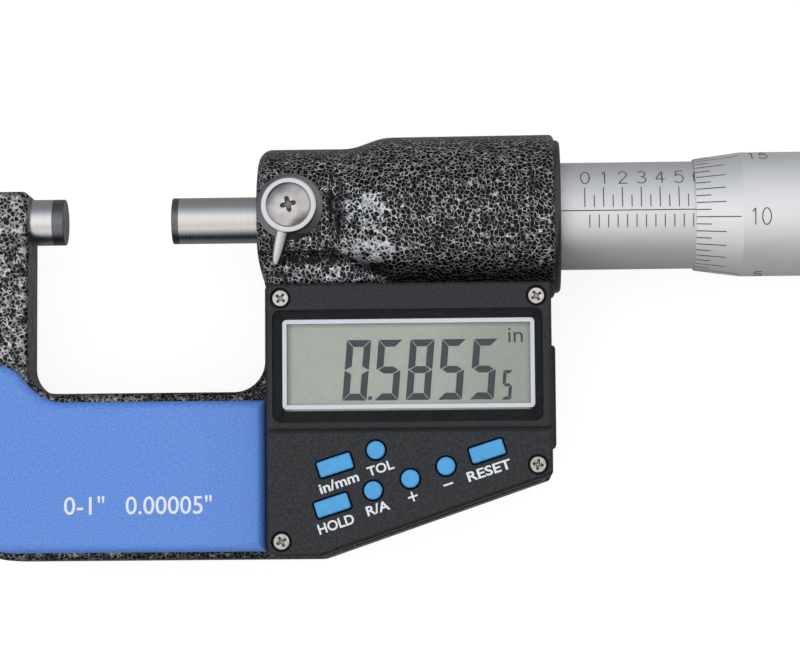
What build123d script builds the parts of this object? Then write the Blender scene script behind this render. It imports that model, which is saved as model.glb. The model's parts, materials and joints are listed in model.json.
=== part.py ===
from build123d import *
import math
import os

# A digital outside micrometer, 0 to 1 inch, lying flat on its back.
# Millimetres. +X runs along the spindle axis away from the anvil, +Y up the plate, and +Z out of the display.
# The origin is the centre of the anvil's measuring face.

# Clearances and fits
running_fit = 0.03
sliding_fit = 0.1
seat_fit = 0.02
loose_fit = 0.3
# How far a cutting shape reaches past the piece that it cuts
overrun = 5.0

# Measuring line
rest_opening = 14.873
measuring_range = 25.4
spindle_radius = 3.175
tip_length = 0.95
tip_edge = 0.08
anvil_tip_length = 1.6
anvil_stand = 4.55
anvil_seat_depth = 9.0

# Frame casting
web_thickness = 9.2
web_edge_round = 1.0
limb_width = 12.0
limb_rise = 3.87
limb_crown_radius = 5.0
limb_corner_radius = 1.0
throat_depth = 23.96
throat_right = 27.76
throat_corner_left = 3.9
throat_corner_right = 4.2
beam_height = 22.66
heel_radius = 10.6
slope_angle = 18.9
slope_start = 35.54
slope_corner_radius = 3.0
pocket_inset = 5.5
pocket_depth = 1.2

# Barrel at the head of the frame
nose_face = 26.93
nose_radius = 9.65
nose_round = 1.9
relief_start = -3.5
relief_depth = 0.25
ramp_start = 38.4
ramp_end = 45.2
ramp_drop = 0.1
barrel_radius = 11.25
barrel_end = 67.3
barrel_end_round = 0.7
chamber_depth = 23.8
chamber_radius = 9.3
end_ring_height = 0.8
end_ring_round = 0.6
end_ring_lip = 3.1

# Seat of the lock lever on the nose
lock_x = 31.53
lock_y = 0.65
pad_height = 8.6
pad_end = 37.6
pad_slope_end = 44.8
gutter_radius = 0.9
ledge_height = 5.8
ledge_top = -5.2
ledge_end = 45.5

# Front and back covers
cover_left = 28.35
cover_right = 66.6
cover_top = -9.9
cover_inset = 0.2
cover_corner = 0.7
cover_wall = 1.4
cover_roof = 1.5
cover_edge_round = 0.6
display_section_height = 10.4
keypad_section_height = 10.0
section_split = -29.66
groove_width = 0.35
back_cover_depth = 11.3
boss_radius = 1.9
screw_shank_radius = 0.8
screw_head_radius = 1.15
screw_head_height = 1.0
counterbore_radius = 1.42
screw_margin = 2.0
screw_depth = 3.6
screw_cross_length = 1.5
screw_cross_width = 0.38
screw_cross_depth = 0.6
screw_turns = (52, 33, 29, 80)

# Display
window_left = 29.25
window_right = 65.4
window_top = -13.5
window_bottom = -28.6
window_corner = 1.1
window_thickness = 0.9
window_sink = 0.1
panel_margin = 1.2
panel_thickness = 1.8
panel_sink = 0.1
strip_width = 1.4

# Circuit board and keys
board_thickness = 1.0
switch_radius = 1.5
switch_height = 0.45
key_turn = 17.8
key_length = 4.6
key_width = 2.1
key_radius = 1.2
key_proud = 0.5
key_travel = 0.35
key_flange = 0.5
key_flange_thickness = 0.6
key_gap = 0.1

# Grip plates
grip_top = -25.3
grip_limb_top = -20.2
grip_rise_start = 4.0
grip_rise_drop = 2.2
grip_rise_end = 0.8
grip_rim = 1.0
grip_right = 28.05
grip_thickness = 2.6
grip_edge_round = 1.2
grip_pin_radius = 1.2
grip_pin_length = 1.5
grip_pin_inset = 1.0

# Sleeve, nut and thimble
sleeve_radius = 7.35
sleeve_bore = 6.2
sleeve_setback = 9.1
sleeve_flange_length = 3.8
sleeve_reach = 33.2
nut_length = 20.5
nut_reach = 6.0
nut_tail_radius = 5.6
nut_tail_taper = 0.3
nut_slot_width = 0.6
adjuster_radius = 6.9
adjuster_length = 4.5
thread_radius = 4.0
thread_lead = 12.85
thread_length = 39.9
neck_radius = 3.6
scale_lead = 4.177
thimble_lip_radius = 7.63
thimble_radius = 8.5
cone_length = 6.35
thimble_length = 46.85
hub_length = 11.2
hub_large_radius = 3.9
hub_small_radius = 3.4
knurl_lead = 16.15
knurl_length = 17.0
knurl_sink = 0.2

# Friction stop
stop_stud_radius = 2.2
stop_collar_radius = 4.6
stop_collar_length = 1.0
stop_knob_radius = 6.4
stop_knob_length = 13.6
stop_bore = 5.2
stop_chamber_length = 5.4
flute_count = 24
flute_radius = 0.45
flute_margin = 2.0
stop_recess_depth = 3.4
stop_recess_radius = 3.8
stop_head_radius = 3.2
stop_screw_radius = 1.0
stop_screw_length = 4.6
stud_thread_radius = 1.6
washer_thickness = 0.5
washer_rise = 0.6

# Encoder
stator_thickness = 1.6
rotor_gap = 0.25
rotor_thickness = 1.6
rotor_radius = 8.6
rotor_hub_radius = 5.0
key_pin_radius = 0.75
key_pin_setback = 4.2
keyway_depth = 0.7
ribbon_thickness = 0.6
ribbon_width = 4.0

# Lock lever
lock_shaft_radius = 2.2
lock_pad_radius = 1.6
lever_base_radius = 4.5
lever_base_height = 0.9
lever_base_edge = 0.35
lever_ring_radius = 3.8
lever_ring_height = 2.3
lever_ring_round = 0.3
lever_recess_depth = 0.6
lever_arm_length = 8.5
lever_arm_turn = -13.3
lock_head_radius = 2.95
lock_head_rim = 0.4
lock_head_height = 0.9
lock_screw_radius = 1.0
cross_width = 0.66
cross_length = 2.2
cross_depth = 1.0
cross_turn = 13.0

# Battery and sockets
battery_x = 46.5
battery_y = -23.0
battery_radius = 5.8
battery_thickness = 5.2
cap_radius = 7.0
cap_lug_reach = 1.0
cap_thickness = 1.1
coin_slot_width = 1.5
coin_slot_depth = 0.6
contact_thickness = 0.15
contact_reach = 9.8
contact_tab_width = 2.4
lead_hole_radius = 1.0
port_y = -24.4
port_length = 14.2
port_height = 4.4
port_middle = -7.4
port_proud = 0.8
port_edge_round = 0.5
port_tongue_length = 8.4
port_tongue_depth = 2.2
port_tongue_thickness = 1.6
socket_length = 11.2
socket_depth = 5.5
mouth_length = 9.2
mouth_depth = 3.4

# Worked out from the sizes above
web_half = web_thickness / 2
limb_inner = -anvil_stand
limb_outer = limb_inner - limb_width
throat_floor = -throat_depth
beam_bottom = throat_floor - beam_height
cover_bottom = beam_bottom + cover_inset
web_right = cover_right
spindle_start = rest_opening + tip_length
slope_tangent = math.tan(math.radians(slope_angle))
slope_end_y = beam_bottom + (web_right - slope_start) * slope_tangent
cover_slope_start = slope_start - cover_inset * math.tan(math.radians(slope_angle / 2))
ramp_radius = barrel_radius - ramp_drop
end_ring_face = barrel_end + end_ring_height
chamber_start = barrel_end - chamber_depth
stator_face = chamber_start + stator_thickness
rotor_start = stator_face + rotor_gap
sleeve_flange_start = barrel_end - sleeve_setback
sleeve_flange_end = sleeve_flange_start + sleeve_flange_length
key_pin_place = sleeve_flange_start - key_pin_setback
sleeve_end = barrel_end + sleeve_reach
nut_end = sleeve_end + nut_reach
nut_start = nut_end - nut_length
thimble_face = barrel_end + scale_lead + rest_opening
thimble_end = thimble_face + thimble_length
hub_start = thimble_end - hub_length
knurl_start = thimble_face + knurl_lead
thread_start = thimble_face - thread_lead
thread_end = thread_start + thread_length
lever_foot = pad_height + 0.05
lever_top = lever_foot + lever_ring_height
knob_start = thimble_end + 0.2
knob_end = knob_start + stop_knob_length
stud_end = knob_end - stop_recess_depth
battery_low = -web_half - 0.2 - battery_thickness
TOP_CENTRE = (Align.CENTER, Align.CENTER, Align.MIN)


def rounded(corners):
    """A flat face with straight sides from (x, y, corner radius) values."""
    points = [(x, y) for x, y, _ in corners]
    radii = [radius for _, _, radius in corners]
    return make_face(FilletPolyline(*points, radius=radii, close=True))


def polygon(*points):
    """A flat face with straight sides and sharp corners."""
    return make_face(Polyline(*points, close=True))


def plate(face, low, high):
    """A flat face in the XY plane, raised from one height to another."""
    return Pos(0, 0, low) * extrude(face, amount=high - low, dir=(0, 0, 1))


def post(x, y, low, high, radius):
    """An upright round post or hole."""
    return Pos(x, y, low) * Cylinder(radius, high - low, align=TOP_CENTRE)


def turned(*points):
    """A piece turned about the spindle axis from (x, radius) points."""
    return revolve(polygon(*points), Axis.X)


def tube(start, end, outer, inner=0.0):
    """A straight round bar or tube along the spindle axis."""
    return turned((start, inner), (end, inner), (end, outer), (start, outer))


def upright(face):
    """A piece turned about an upright axis from a face of radius and height."""
    return Rot(90, 0, 0) * revolve(face, Axis.Y)


def block(x_low, x_high, y_low, y_high, z_low, z_high):
    """A box between two corners."""
    return Pos(x_low, y_low, z_low) * Box(
        x_high - x_low, y_high - y_low, z_high - z_low, align=(Align.MIN,) * 3
    )


def rounded_plate(face, low, high, radius, top=True, bottom=False):
    """A raised plate with the edges of its top or bottom rounded over."""
    solid = plate(face, low, high)
    if top:
        solid = fillet(solid.edges().group_by(Axis.Z)[-1], radius)
    if bottom:
        solid = fillet(solid.edges().group_by(Axis.Z)[0], radius)
    return solid


# Places that several pieces share


def cover_face(inset=0.0):
    """The outline of both covers, or one that lies inside it."""
    face = rounded([
        (cover_left, cover_top, cover_corner),
        (cover_left, cover_bottom, 1.6),
        (cover_slope_start, cover_bottom, 1.5),
        (cover_right, slope_height(cover_right), cover_corner),
        (cover_right, cover_top, cover_corner),
    ])
    if inset:
        face = offset(face, -inset, kind=Kind.INTERSECTION)
    return face


def slope_height(x):
    """The height of the covers' slanting edge at one place."""
    return cover_bottom + (x - cover_slope_start) * slope_tangent


def cover_screw_places():
    """The four screws of each cover, one near each corner."""
    left = cover_left + screw_margin
    right = cover_right - screw_margin
    top = cover_top - screw_margin
    return [
        (left, top),
        (right, top),
        (left, cover_bottom + screw_margin),
        (right, slope_height(right) + screw_margin),
    ]


def barrel_clearance(gap):
    """The barrel's outer round, grown by a gap, for what fits under it."""
    return tube(nose_face - overrun, barrel_end + overrun, barrel_radius + gap)


KEYS = {
    "unit_key": (37.56, -34.31, "bar"),
    "hold_key": (37.18, -39.65, "bar"),
    "reset_key": (57.85, -32.63, "bar"),
    "tolerance_key": (43.02, -32.35, "round"),
    "relative_key": (42.62, -37.72, "round"),
    "plus_key": (47.58, -36.21, "round"),
    "minus_key": (52.35, -34.58, "round"),
}


def key_face(name, grow=0.0):
    """The outline of one key, or of its hole or flange."""
    x, y, shape = KEYS[name]
    if shape == "bar":
        outline = RectangleRounded(key_length + 2 * grow, key_width + 2 * grow, 0.3 + grow)
        return Pos(x, y) * Rot(0, 0, key_turn) * outline
    return Pos(x, y) * Circle(key_radius + grow)


def grip_face():
    """The outline of a grip plate, with the S-shaped rise of its upper edge."""
    left = limb_outer + grip_rim
    bottom = beam_bottom + grip_rim
    shoulder = limb_inner - grip_rise_start
    upper = Line((left, grip_limb_top), (shoulder, grip_limb_top))
    rise = Spline(
        [
            (shoulder, grip_limb_top),
            (limb_inner - 0.2, grip_limb_top - grip_rise_drop),
            (grip_rise_end, grip_top),
        ],
        tangents=[(1, 0), (1, 0)],
    )
    inner_heel = heel_radius - grip_rim
    edges = [
        upper,
        rise,
        Line((grip_rise_end, grip_top), (grip_right, grip_top)),
        Line((grip_right, grip_top), (grip_right, bottom)),
        Line((grip_right, bottom), (left + inner_heel, bottom)),
        RadiusArc((left + inner_heel, bottom), (left, bottom + inner_heel), inner_heel),
        Line((left, bottom + inner_heel), (left, grip_limb_top)),
    ]
    return make_face(edges)


def grip_pin_places():
    """The pins that hold each grip plate, along the beam of the frame."""
    middle = (grip_top + beam_bottom) / 2
    first = limb_inner - grip_pin_inset
    last = grip_right - 4 * grip_pin_inset
    return [(first, middle), (last, middle), ((first + last) / 2, middle)]


# The frame and what is pressed into it


def frame_web():
    """The C-shaped plate of the casting, with its edges rounded."""
    outline = rounded([
        (limb_outer, beam_bottom, heel_radius),
        (slope_start, beam_bottom, 2.0),
        (web_right, slope_end_y, slope_corner_radius),
        (web_right, 0, 0),
        (throat_right, 0, 0),
        (throat_right, throat_floor, throat_corner_right),
        (limb_inner, throat_floor, throat_corner_left),
        (limb_inner, limb_rise, limb_corner_radius),
        (limb_outer, limb_rise, limb_crown_radius),
    ])
    return rounded_plate(outline, -web_half, web_half, web_edge_round, bottom=True)


def frame_barrel():
    """The turned head of the casting: a nose, a smooth rise and the barrel."""
    profile = [
        Line((nose_face, 0), (nose_face, nose_radius - nose_round)),
        RadiusArc(
            (nose_face, nose_radius - nose_round), (nose_face + nose_round, nose_radius), nose_round
        ),
        Line((nose_face + nose_round, nose_radius), (ramp_start, nose_radius)),
        Spline([(ramp_start, nose_radius), (ramp_end, ramp_radius)], tangents=[(1, 0), (1, 0)]),
        Line((ramp_end, ramp_radius), (barrel_end - barrel_end_round, barrel_radius)),
        RadiusArc(
            (barrel_end - barrel_end_round, barrel_radius),
            (barrel_end, barrel_radius - barrel_end_round),
            barrel_end_round,
        ),
        Line((barrel_end, barrel_radius - barrel_end_round), (barrel_end, 0)),
        Line((barrel_end, 0), (nose_face, 0)),
    ]
    return revolve(make_face(profile), Axis.X)


def lock_pad_cut():
    """What is cut from the nose: the lever's flat seat, its gutter and the slope up to the barrel."""
    top = barrel_radius + 2
    half = nose_radius + 2
    rise = barrel_radius - pad_height
    side = make_face(Plane.XZ * Polyline(
        (nose_face - 2, pad_height),
        (pad_end, pad_height),
        (pad_slope_end, pad_height + rise),
        (pad_slope_end, top),
        (nose_face - 2, top),
        close=True,
    ))
    seat = extrude(side, amount=half, both=True)
    gutter = Pos(pad_end, 0, pad_height + 0.55) * Rot(90, 0, 0) * Cylinder(gutter_radius, nose_radius)
    return seat + gutter


def ledge():
    """The step of the casting under the nose, where it meets the cover."""
    face = polygon(
        (throat_right + 0.3, ledge_top + 1),
        (ledge_end, ledge_top + 1),
        (ledge_end, cover_top + 0.1),
        (throat_right + 0.3, cover_top + 0.1),
    )
    return rounded_plate(face, 0, ledge_height, 0.8)


def ledge_cut():
    """What is cut from the nose above the step, with a rounded foot."""
    face = polygon(
        (nose_face - 2, ledge_top),
        (pad_end, ledge_top),
        (ledge_end, cover_top + 1.2),
        (ledge_end, cover_top - 1),
        (nose_face - 2, cover_top - 1),
    )
    return rounded_plate(face, ledge_height, barrel_radius + 2, 1.0, top=False, bottom=True)


def nose_relief():
    """What is cut from the lower corner of the nose, where it runs down into the web."""
    foot = throat_right + 0.2
    middle = (relief_start + cover_top) / 2
    face = make_face([
        ThreePointArc((nose_face, relief_start), (nose_face + relief_depth, middle), (foot, cover_top)),
        Line((foot, cover_top), (nose_face - 1, cover_top)),
        Line((nose_face - 1, cover_top), (nose_face - 1, relief_start)),
        Line((nose_face - 1, relief_start), (nose_face, relief_start)),
    ])
    return plate(face, -barrel_radius, barrel_radius)


def ribbon_slot(gap):
    """The passage of the sensor ribbon from the chamber down to the circuit board."""
    middle = chamber_start + stator_thickness / 2
    half = ribbon_thickness / 2 + gap
    side = ribbon_width / 2 + gap
    return block(middle - half, middle + half, cover_top - 3.6 - gap, -chamber_radius + gap, -side, web_half)


def frame():
    """The cast frame: web, barrel, anvil limb and all of their bores."""
    body = frame_web() + (frame_barrel() - lock_pad_cut())
    body = body - ledge_cut() + ledge() - nose_relief()
    body -= tube(nose_face - overrun, chamber_start + 1, spindle_radius + running_fit)
    body -= tube(chamber_start, barrel_end + 1, chamber_radius)
    body -= tube(limb_inner - anvil_seat_depth, limb_inner + 1, spindle_radius + seat_fit)
    body -= post(lock_x, lock_y, 0, barrel_radius, lock_pad_radius + running_fit)
    body -= post(lock_x, lock_y, spindle_radius + 2, barrel_radius, lock_shaft_radius + running_fit)
    body -= ribbon_slot(loose_fit)
    body -= plate(cover_face(pocket_inset), web_half - pocket_depth, web_half + 1)
    for x, y in cover_screw_places():
        body -= post(x, y, web_half - screw_depth, web_half + 1, screw_shank_radius + seat_fit)
        body -= post(x, y, -web_half - 1, -web_half + screw_depth, screw_shank_radius + seat_fit)
    for x, y in grip_pin_places():
        body -= post(x, y, web_half - grip_pin_length - 0.2, web_half + 1, grip_pin_radius + seat_fit)
        body -= post(x, y, -web_half - 1, -web_half + grip_pin_length + 0.2, grip_pin_radius + seat_fit)
    body -= post(battery_x + contact_reach - 0.8, battery_y, -web_half - 1, web_half, lead_hole_radius)
    return body


def anvil():
    """The hardened anvil, pressed into the limb."""
    start = limb_inner - anvil_seat_depth + 0.1
    return tube(start, -anvil_tip_length, spindle_radius)


def anvil_tip():
    """The carbide face of the anvil."""
    return turned(
        (-anvil_tip_length, 0), (0, 0), (0, spindle_radius - tip_edge), (-tip_edge, spindle_radius),
        (-anvil_tip_length, spindle_radius),
    )


def barrel_end_ring():
    """The smooth ring that closes the barrel round the sleeve."""
    inner = sleeve_radius + seat_fit
    outer = barrel_radius - barrel_end_round - 0.05
    edge = end_ring_round
    seat = chamber_radius - seat_fit
    profile = [
        Polyline(
            (end_ring_face, outer - edge), (end_ring_face, inner), (barrel_end - end_ring_lip, inner),
            (barrel_end - end_ring_lip, seat), (barrel_end, seat), (barrel_end, outer),
            (end_ring_face - edge, outer),
        ),
        RadiusArc((end_ring_face - edge, outer), (end_ring_face, outer - edge), edge),
    ]
    return revolve(make_face(profile), Axis.X)


def sleeve():
    """The scale sleeve, with the flange that seats in the barrel's chamber."""
    flange = chamber_radius - seat_fit
    return turned(
        (sleeve_flange_start, thread_radius + loose_fit), (sleeve_flange_end, thread_radius + loose_fit),
        (sleeve_flange_end, sleeve_bore), (sleeve_end, sleeve_bore), (sleeve_end, sleeve_radius),
        (sleeve_flange_end, sleeve_radius), (sleeve_flange_end, flange), (sleeve_flange_start, flange),
    )


def nut_tail(x):
    """The outer radius of the nut's tapered tail at one place."""
    return nut_tail_radius - nut_tail_taper * (x - sleeve_end) / (nut_end - sleeve_end)


def screw_nut():
    """The nut of the measuring screw, with a slotted taper that the adjusting nut closes."""
    bore = thread_radius + running_fit
    outer = sleeve_bore - seat_fit
    body = turned(
        (nut_start, bore), (nut_end, bore), (nut_end, nut_tail(nut_end)),
        (sleeve_end, nut_tail(sleeve_end)), (sleeve_end, outer), (nut_start, outer),
    )
    for turn in (0, 120, 240):
        slot = block(sleeve_end - 2, nut_end + 1, -nut_slot_width / 2, nut_slot_width / 2, 0, outer + 1)
        body -= Rot(turn, 0, 0) * slot
    return body


def adjusting_nut():
    """The ring nut on the taper that takes up wear in the measuring screw."""
    start = sleeve_end + 0.2
    end = start + adjuster_length
    body = turned(
        (start, nut_tail(start) + seat_fit), (end, nut_tail(end) + seat_fit), (end, adjuster_radius - 0.3),
        (end - 0.3, adjuster_radius), (start, adjuster_radius),
    )
    for turn in (45, 225):
        notch = block(end - 1.2, end + 1, -0.7, 0.7, adjuster_radius - 0.8, adjuster_radius + 1)
        body -= Rot(turn, 0, 0) * notch
    return body


# The encoder in the barrel


def encoder_stator():
    """The fixed sensor plate, seated on the shoulder of the chamber."""
    return tube(chamber_start, stator_face, chamber_radius - seat_fit, spindle_radius + 1)


def sensor_ribbon():
    """The flat ribbon that joins the sensor plate to the circuit board."""
    return ribbon_slot(0) & block(
        nose_face, barrel_end, cover_top - overrun, -chamber_radius, -web_thickness, web_thickness
    )


def encoder_rotor():
    """The turning sensor plate on its hub, keyed to the spindle."""
    end = sleeve_flange_start - 0.2
    bore = spindle_radius + running_fit
    body = turned(
        (rotor_start, bore), (end, bore), (end, rotor_hub_radius),
        (rotor_start + rotor_thickness, rotor_hub_radius),
        (rotor_start + rotor_thickness, rotor_radius), (rotor_start, rotor_radius),
    )
    return body - post(key_pin_place, 0, 0, rotor_hub_radius + 1, key_pin_radius + seat_fit)


def rotor_key():
    """The pin that turns the rotor with the spindle and lets the spindle slide."""
    low = spindle_radius - keyway_depth + 0.15
    return post(key_pin_place, 0, low, rotor_hub_radius - 0.1, key_pin_radius)


# The spindle and what turns with it


def spindle():
    """The spindle: measuring stem with its keyway, screw, neck and the taper for the thimble."""
    closed_shift = rest_opening
    open_shift = measuring_range - rest_opening
    body = turned(
        (spindle_start, 0), (thimble_end - 0.6, 0), (thimble_end - 0.6, hub_small_radius),
        (hub_start, hub_large_radius), (hub_start, neck_radius), (thread_end, neck_radius),
        (thread_end, thread_radius), (thread_start, thread_radius), (thread_start, spindle_radius),
        (spindle_start, spindle_radius),
    )
    half = key_pin_radius + 0.05
    keyway = block(
        key_pin_place - open_shift - 1.5, key_pin_place + closed_shift + 1.5,
        -half, half, spindle_radius - keyway_depth, spindle_radius + 1,
    )
    return body - keyway - tube(hub_start + 1, thimble_end, stud_thread_radius + seat_fit)


def spindle_tip():
    """The carbide face of the spindle."""
    return turned(
        (rest_opening, 0), (spindle_start, 0), (spindle_start, spindle_radius),
        (rest_opening + tip_edge, spindle_radius), (rest_opening, spindle_radius - tip_edge),
    )


def thimble():
    """The thimble: graduated cone, barrel with a band for the knurl, and the hub on the spindle."""
    bore = sleeve_radius + sliding_fit
    band = thimble_radius - knurl_sink
    knurl_end = knurl_start + knurl_length
    large = hub_large_radius + seat_fit
    small = hub_small_radius + seat_fit
    return turned(
        (thimble_face, bore), (hub_start, bore), (hub_start, large), (thimble_end - 0.6, small),
        (thimble_end, small), (thimble_end, thimble_radius - 0.8), (thimble_end - 0.8, thimble_radius),
        (knurl_end, thimble_radius), (knurl_end, band), (knurl_start, band),
        (knurl_start, thimble_radius), (thimble_face + cone_length, thimble_radius),
        (thimble_face, thimble_lip_radius),
    )


def stop_stud():
    """The stud screwed into the spindle, whose collar clamps the thimble on its taper."""
    collar_end = thimble_end + stop_collar_length
    body = turned(
        (hub_start + 1.2, 0), (stud_end, 0), (stud_end, stop_stud_radius),
        (collar_end, stop_stud_radius), (collar_end, stop_collar_radius),
        (thimble_end, stop_collar_radius), (thimble_end, stud_thread_radius),
        (hub_start + 1.2, stud_thread_radius),
    )
    return body - tube(stud_end - stop_screw_length - 0.4, stud_end + 1, stop_screw_radius + seat_fit)


def stop_screw():
    """The screw that keeps the knob on its stud."""
    start = stud_end - stop_screw_length
    top = stud_end + 1.5
    return turned(
        (start, 0), (top, 0), (top, stop_head_radius - 0.6), (top - 0.6, stop_head_radius),
        (stud_end, stop_head_radius), (stud_end, stop_screw_radius), (start, stop_screw_radius),
    )


def stop_knob():
    """The knob of the friction stop, fluted for the fingers."""
    bore = stop_stud_radius + running_fit
    chamber_end = knob_start + stop_chamber_length
    recess_start = stud_end - 0.1
    edge = 0.5
    body = turned(
        (knob_start, stop_bore), (chamber_end, stop_bore), (chamber_end, bore), (recess_start, bore),
        (recess_start, stop_recess_radius), (knob_end, stop_recess_radius),
        (knob_end, stop_knob_radius - edge), (knob_end - edge, stop_knob_radius),
        (knob_start + edge, stop_knob_radius),
        (knob_start, stop_knob_radius - edge),
    )
    length = stop_knob_length - 2 * flute_margin
    middle = knob_start + flute_margin + length / 2
    flute = Pos(middle, 0, stop_knob_radius + 0.1) * Rot(0, 90, 0) * Cylinder(flute_radius, length)
    for index in range(flute_count):
        body -= Rot(index * 360 / flute_count, 0, 0) * flute
    return body


def stop_washers():
    """The cupped spring washers that press the knob against its stud."""
    inner = stop_stud_radius + 0.15
    outer = stop_bore - 0.4
    start = thimble_end + stop_collar_length + 0.1
    washers = []
    for index in range(3):
        foot = start + index * (washer_thickness + washer_rise + 0.1)
        if index % 2:
            low_x, high_x = foot, foot + washer_rise
        else:
            low_x, high_x = foot + washer_rise, foot
        washers.append(turned(
            (low_x, inner), (low_x + washer_thickness, inner),
            (high_x + washer_thickness, outer), (high_x, outer),
        ))
    return Compound([washer.solid() for washer in washers])


# The lock


def lock_pad():
    """The soft plug that the lock shaft presses on the spindle."""
    plug = post(lock_x, lock_y, 0, spindle_radius + 1.9, lock_pad_radius)
    return plug - tube(nose_face - overrun, chamber_start, spindle_radius + running_fit)


def lock_shaft():
    """The threaded shaft that the lever turns."""
    low = spindle_radius + 2.1
    shaft = post(lock_x, lock_y, low, pad_height + 1.3, lock_shaft_radius)
    return shaft - post(lock_x, lock_y, pad_height - 2, pad_height + 2, lock_screw_radius + seat_fit)


def lever_profile():
    """The half section of the lever's hub: a sloping base, a ring with a round edge and a recess."""
    bore = lock_shaft_radius + seat_fit
    edge = lever_ring_round
    shoulder = (lever_ring_radius, lever_top - edge)
    crest = (lever_ring_radius - edge, lever_top)
    recess = lever_top - lever_recess_depth
    return [
        Polyline(
            crest, (lock_head_radius + 0.1, lever_top), (lock_head_radius + 0.05, recess), (bore, recess),
            (bore, lever_foot), (lever_base_radius, lever_foot),
            (lever_base_radius, lever_foot + lever_base_edge),
            (lever_ring_radius, lever_foot + lever_base_height), shoulder,
        ),
        RadiusArc(shoulder, crest, -edge),
    ]


def lock_lever():
    """The lever: a turned hub with a rounded, tapering arm."""
    hub = upright(make_face(lever_profile()))
    root = lever_ring_radius - 0.5
    tip = lever_arm_length - 0.3
    shape = ((root, 1.9, 1.3), (0.6 * root + 0.4 * tip, 1.7, 1.15), (tip - 1.2, 1.3, 0.9), (tip, 0.66, 0.6))
    sections = []
    for reach, width, height in shape:
        middle = pad_height + 1.65 - 0.1 * reach
        plane = Plane(origin=(0, -reach, middle), x_dir=(1, 0, 0), z_dir=(0, -1, 0))
        sections.append(plane * RectangleRounded(width, height, 0.46 * min(width, height)))
    arm = loft(sections)
    end = arm.edges().filter_by_position(Axis.Y, -lever_arm_length, -lever_arm_length + 0.31)
    arm = fillet(end, 0.2)
    return Pos(lock_x, lock_y, 0) * Rot(0, 0, lever_arm_turn) * (hub + arm)


def lock_screw():
    """The domed cross-head screw in the middle of the lever."""
    low = lever_top - lever_recess_depth
    rim = (lock_head_radius, low + lock_head_rim)
    crown = low + lock_head_rim + lock_head_height
    shoulder = (lock_head_radius * 0.55, low + lock_head_rim + lock_head_height * 0.73)
    dome = make_face([
        Polyline((0, crown), (0, low), (lock_head_radius, low), rim),
        ThreePointArc(rim, shoulder, (0, crown)),
    ])
    screw = upright(dome) + post(0, 0, pad_height - 1.6, low, lock_screw_radius)
    arm = extrude(SlotOverall(cross_length, cross_width), amount=2 * cross_depth)
    for turn in (cross_turn, cross_turn + 90):
        screw -= Pos(0, 0, crown - cross_depth) * Rot(0, 0, turn) * arm
    return Pos(lock_x, lock_y, 0) * screw


# The front: cover, window, display, board and keys


def front_cover():
    """The moulded front cover: display section, lower keypad section, bosses and openings."""
    skin = rounded_plate(cover_face(), web_half, keypad_section_height, cover_edge_round)
    raised = rounded([
        (cover_left, cover_top, cover_corner),
        (cover_left, section_split, 0.3),
        (cover_right, section_split, 0.3),
        (cover_right, cover_top, cover_corner),
    ])
    skin += rounded_plate(raised, web_half + 2, display_section_height, cover_edge_round)
    groove_y = section_split - groove_width
    skin -= block(
        cover_left - 1, cover_right + 1, groove_y, section_split,
        keypad_section_height - groove_width, display_section_height + 1,
    )
    roof = keypad_section_height - cover_roof
    body = skin - plate(cover_face(cover_wall), web_half - 1, roof)
    for x, y in cover_screw_places():
        body += post(x, y, web_half, roof, boss_radius)
    body -= barrel_clearance(0.15)
    for x, y in cover_screw_places():
        face = keypad_section_height if y < section_split else display_section_height
        body -= post(x, y, web_half - 1, face + 1, screw_shank_radius + 0.1)
        body -= post(x, y, face - screw_head_height - 0.2, face + 1, counterbore_radius)
    body -= plate(window_face(seat_fit), display_section_height - window_sink - window_thickness,
                  display_section_height + 1)
    body -= plate(panel_face(sliding_fit), web_half, display_section_height)
    for name in KEYS:
        body -= plate(key_face(name, key_gap), web_half, keypad_section_height + 1)
    return body


def window_face(grow=0.0):
    """The outline of the display window."""
    width = window_right - window_left + 2 * grow
    height = window_top - window_bottom + 2 * grow
    centre = Pos((window_left + window_right) / 2, (window_top + window_bottom) / 2)
    return centre * RectangleRounded(width, height, window_corner)


def panel_face(grow=0.0):
    """The outline of the liquid crystal panel, inside the window."""
    width = window_right - window_left - 2 * panel_margin + 2 * grow
    height = window_top - window_bottom - 2 * panel_margin + 2 * grow
    centre = Pos((window_left + window_right) / 2, (window_top + window_bottom) / 2)
    return centre * Rectangle(width, height)


def display_window():
    """The clear window let into the cover."""
    top = display_section_height - window_sink
    return plate(window_face(), top - window_thickness, top)


def panel_top():
    """The height of the panel's upper face, just under the window."""
    return display_section_height - window_sink - window_thickness - panel_sink


def lcd_panel():
    """The liquid crystal panel."""
    return plate(panel_face(), panel_top() - panel_thickness, panel_top())


def board_top():
    """The height of the circuit board's upper face."""
    return web_half + 0.05 + board_thickness


def display_connectors():
    """The two rubber strips that join the panel to the board and carry it."""
    left = window_left + panel_margin + 1
    right = window_right - panel_margin - 1
    top = window_top - panel_margin
    bottom = window_bottom + panel_margin
    high = panel_top() - panel_thickness
    upper = block(left, right, top - strip_width, top, board_top(), high)
    lower = block(left, right, bottom, bottom + strip_width, board_top(), high)
    return Compound([upper.solid(), lower.solid()])


def circuit_board():
    """The circuit board, cut round the cover's bosses."""
    body = plate(cover_face(cover_wall + 0.2), web_half + 0.05, board_top())
    for x, y in cover_screw_places():
        body -= post(x, y, web_half - 1, board_top() + 1, boss_radius + 0.3)
    body -= barrel_clearance(0.3)
    return body


def key_switches():
    """The dome switches on the board, one under each key."""
    domes = []
    for x, y, _ in KEYS.values():
        dome = Cone(switch_radius, switch_radius * 0.6, switch_height, align=TOP_CENTRE)
        domes.append((Pos(x, y, board_top()) * dome).solid())
    return Compound(domes)


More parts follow.
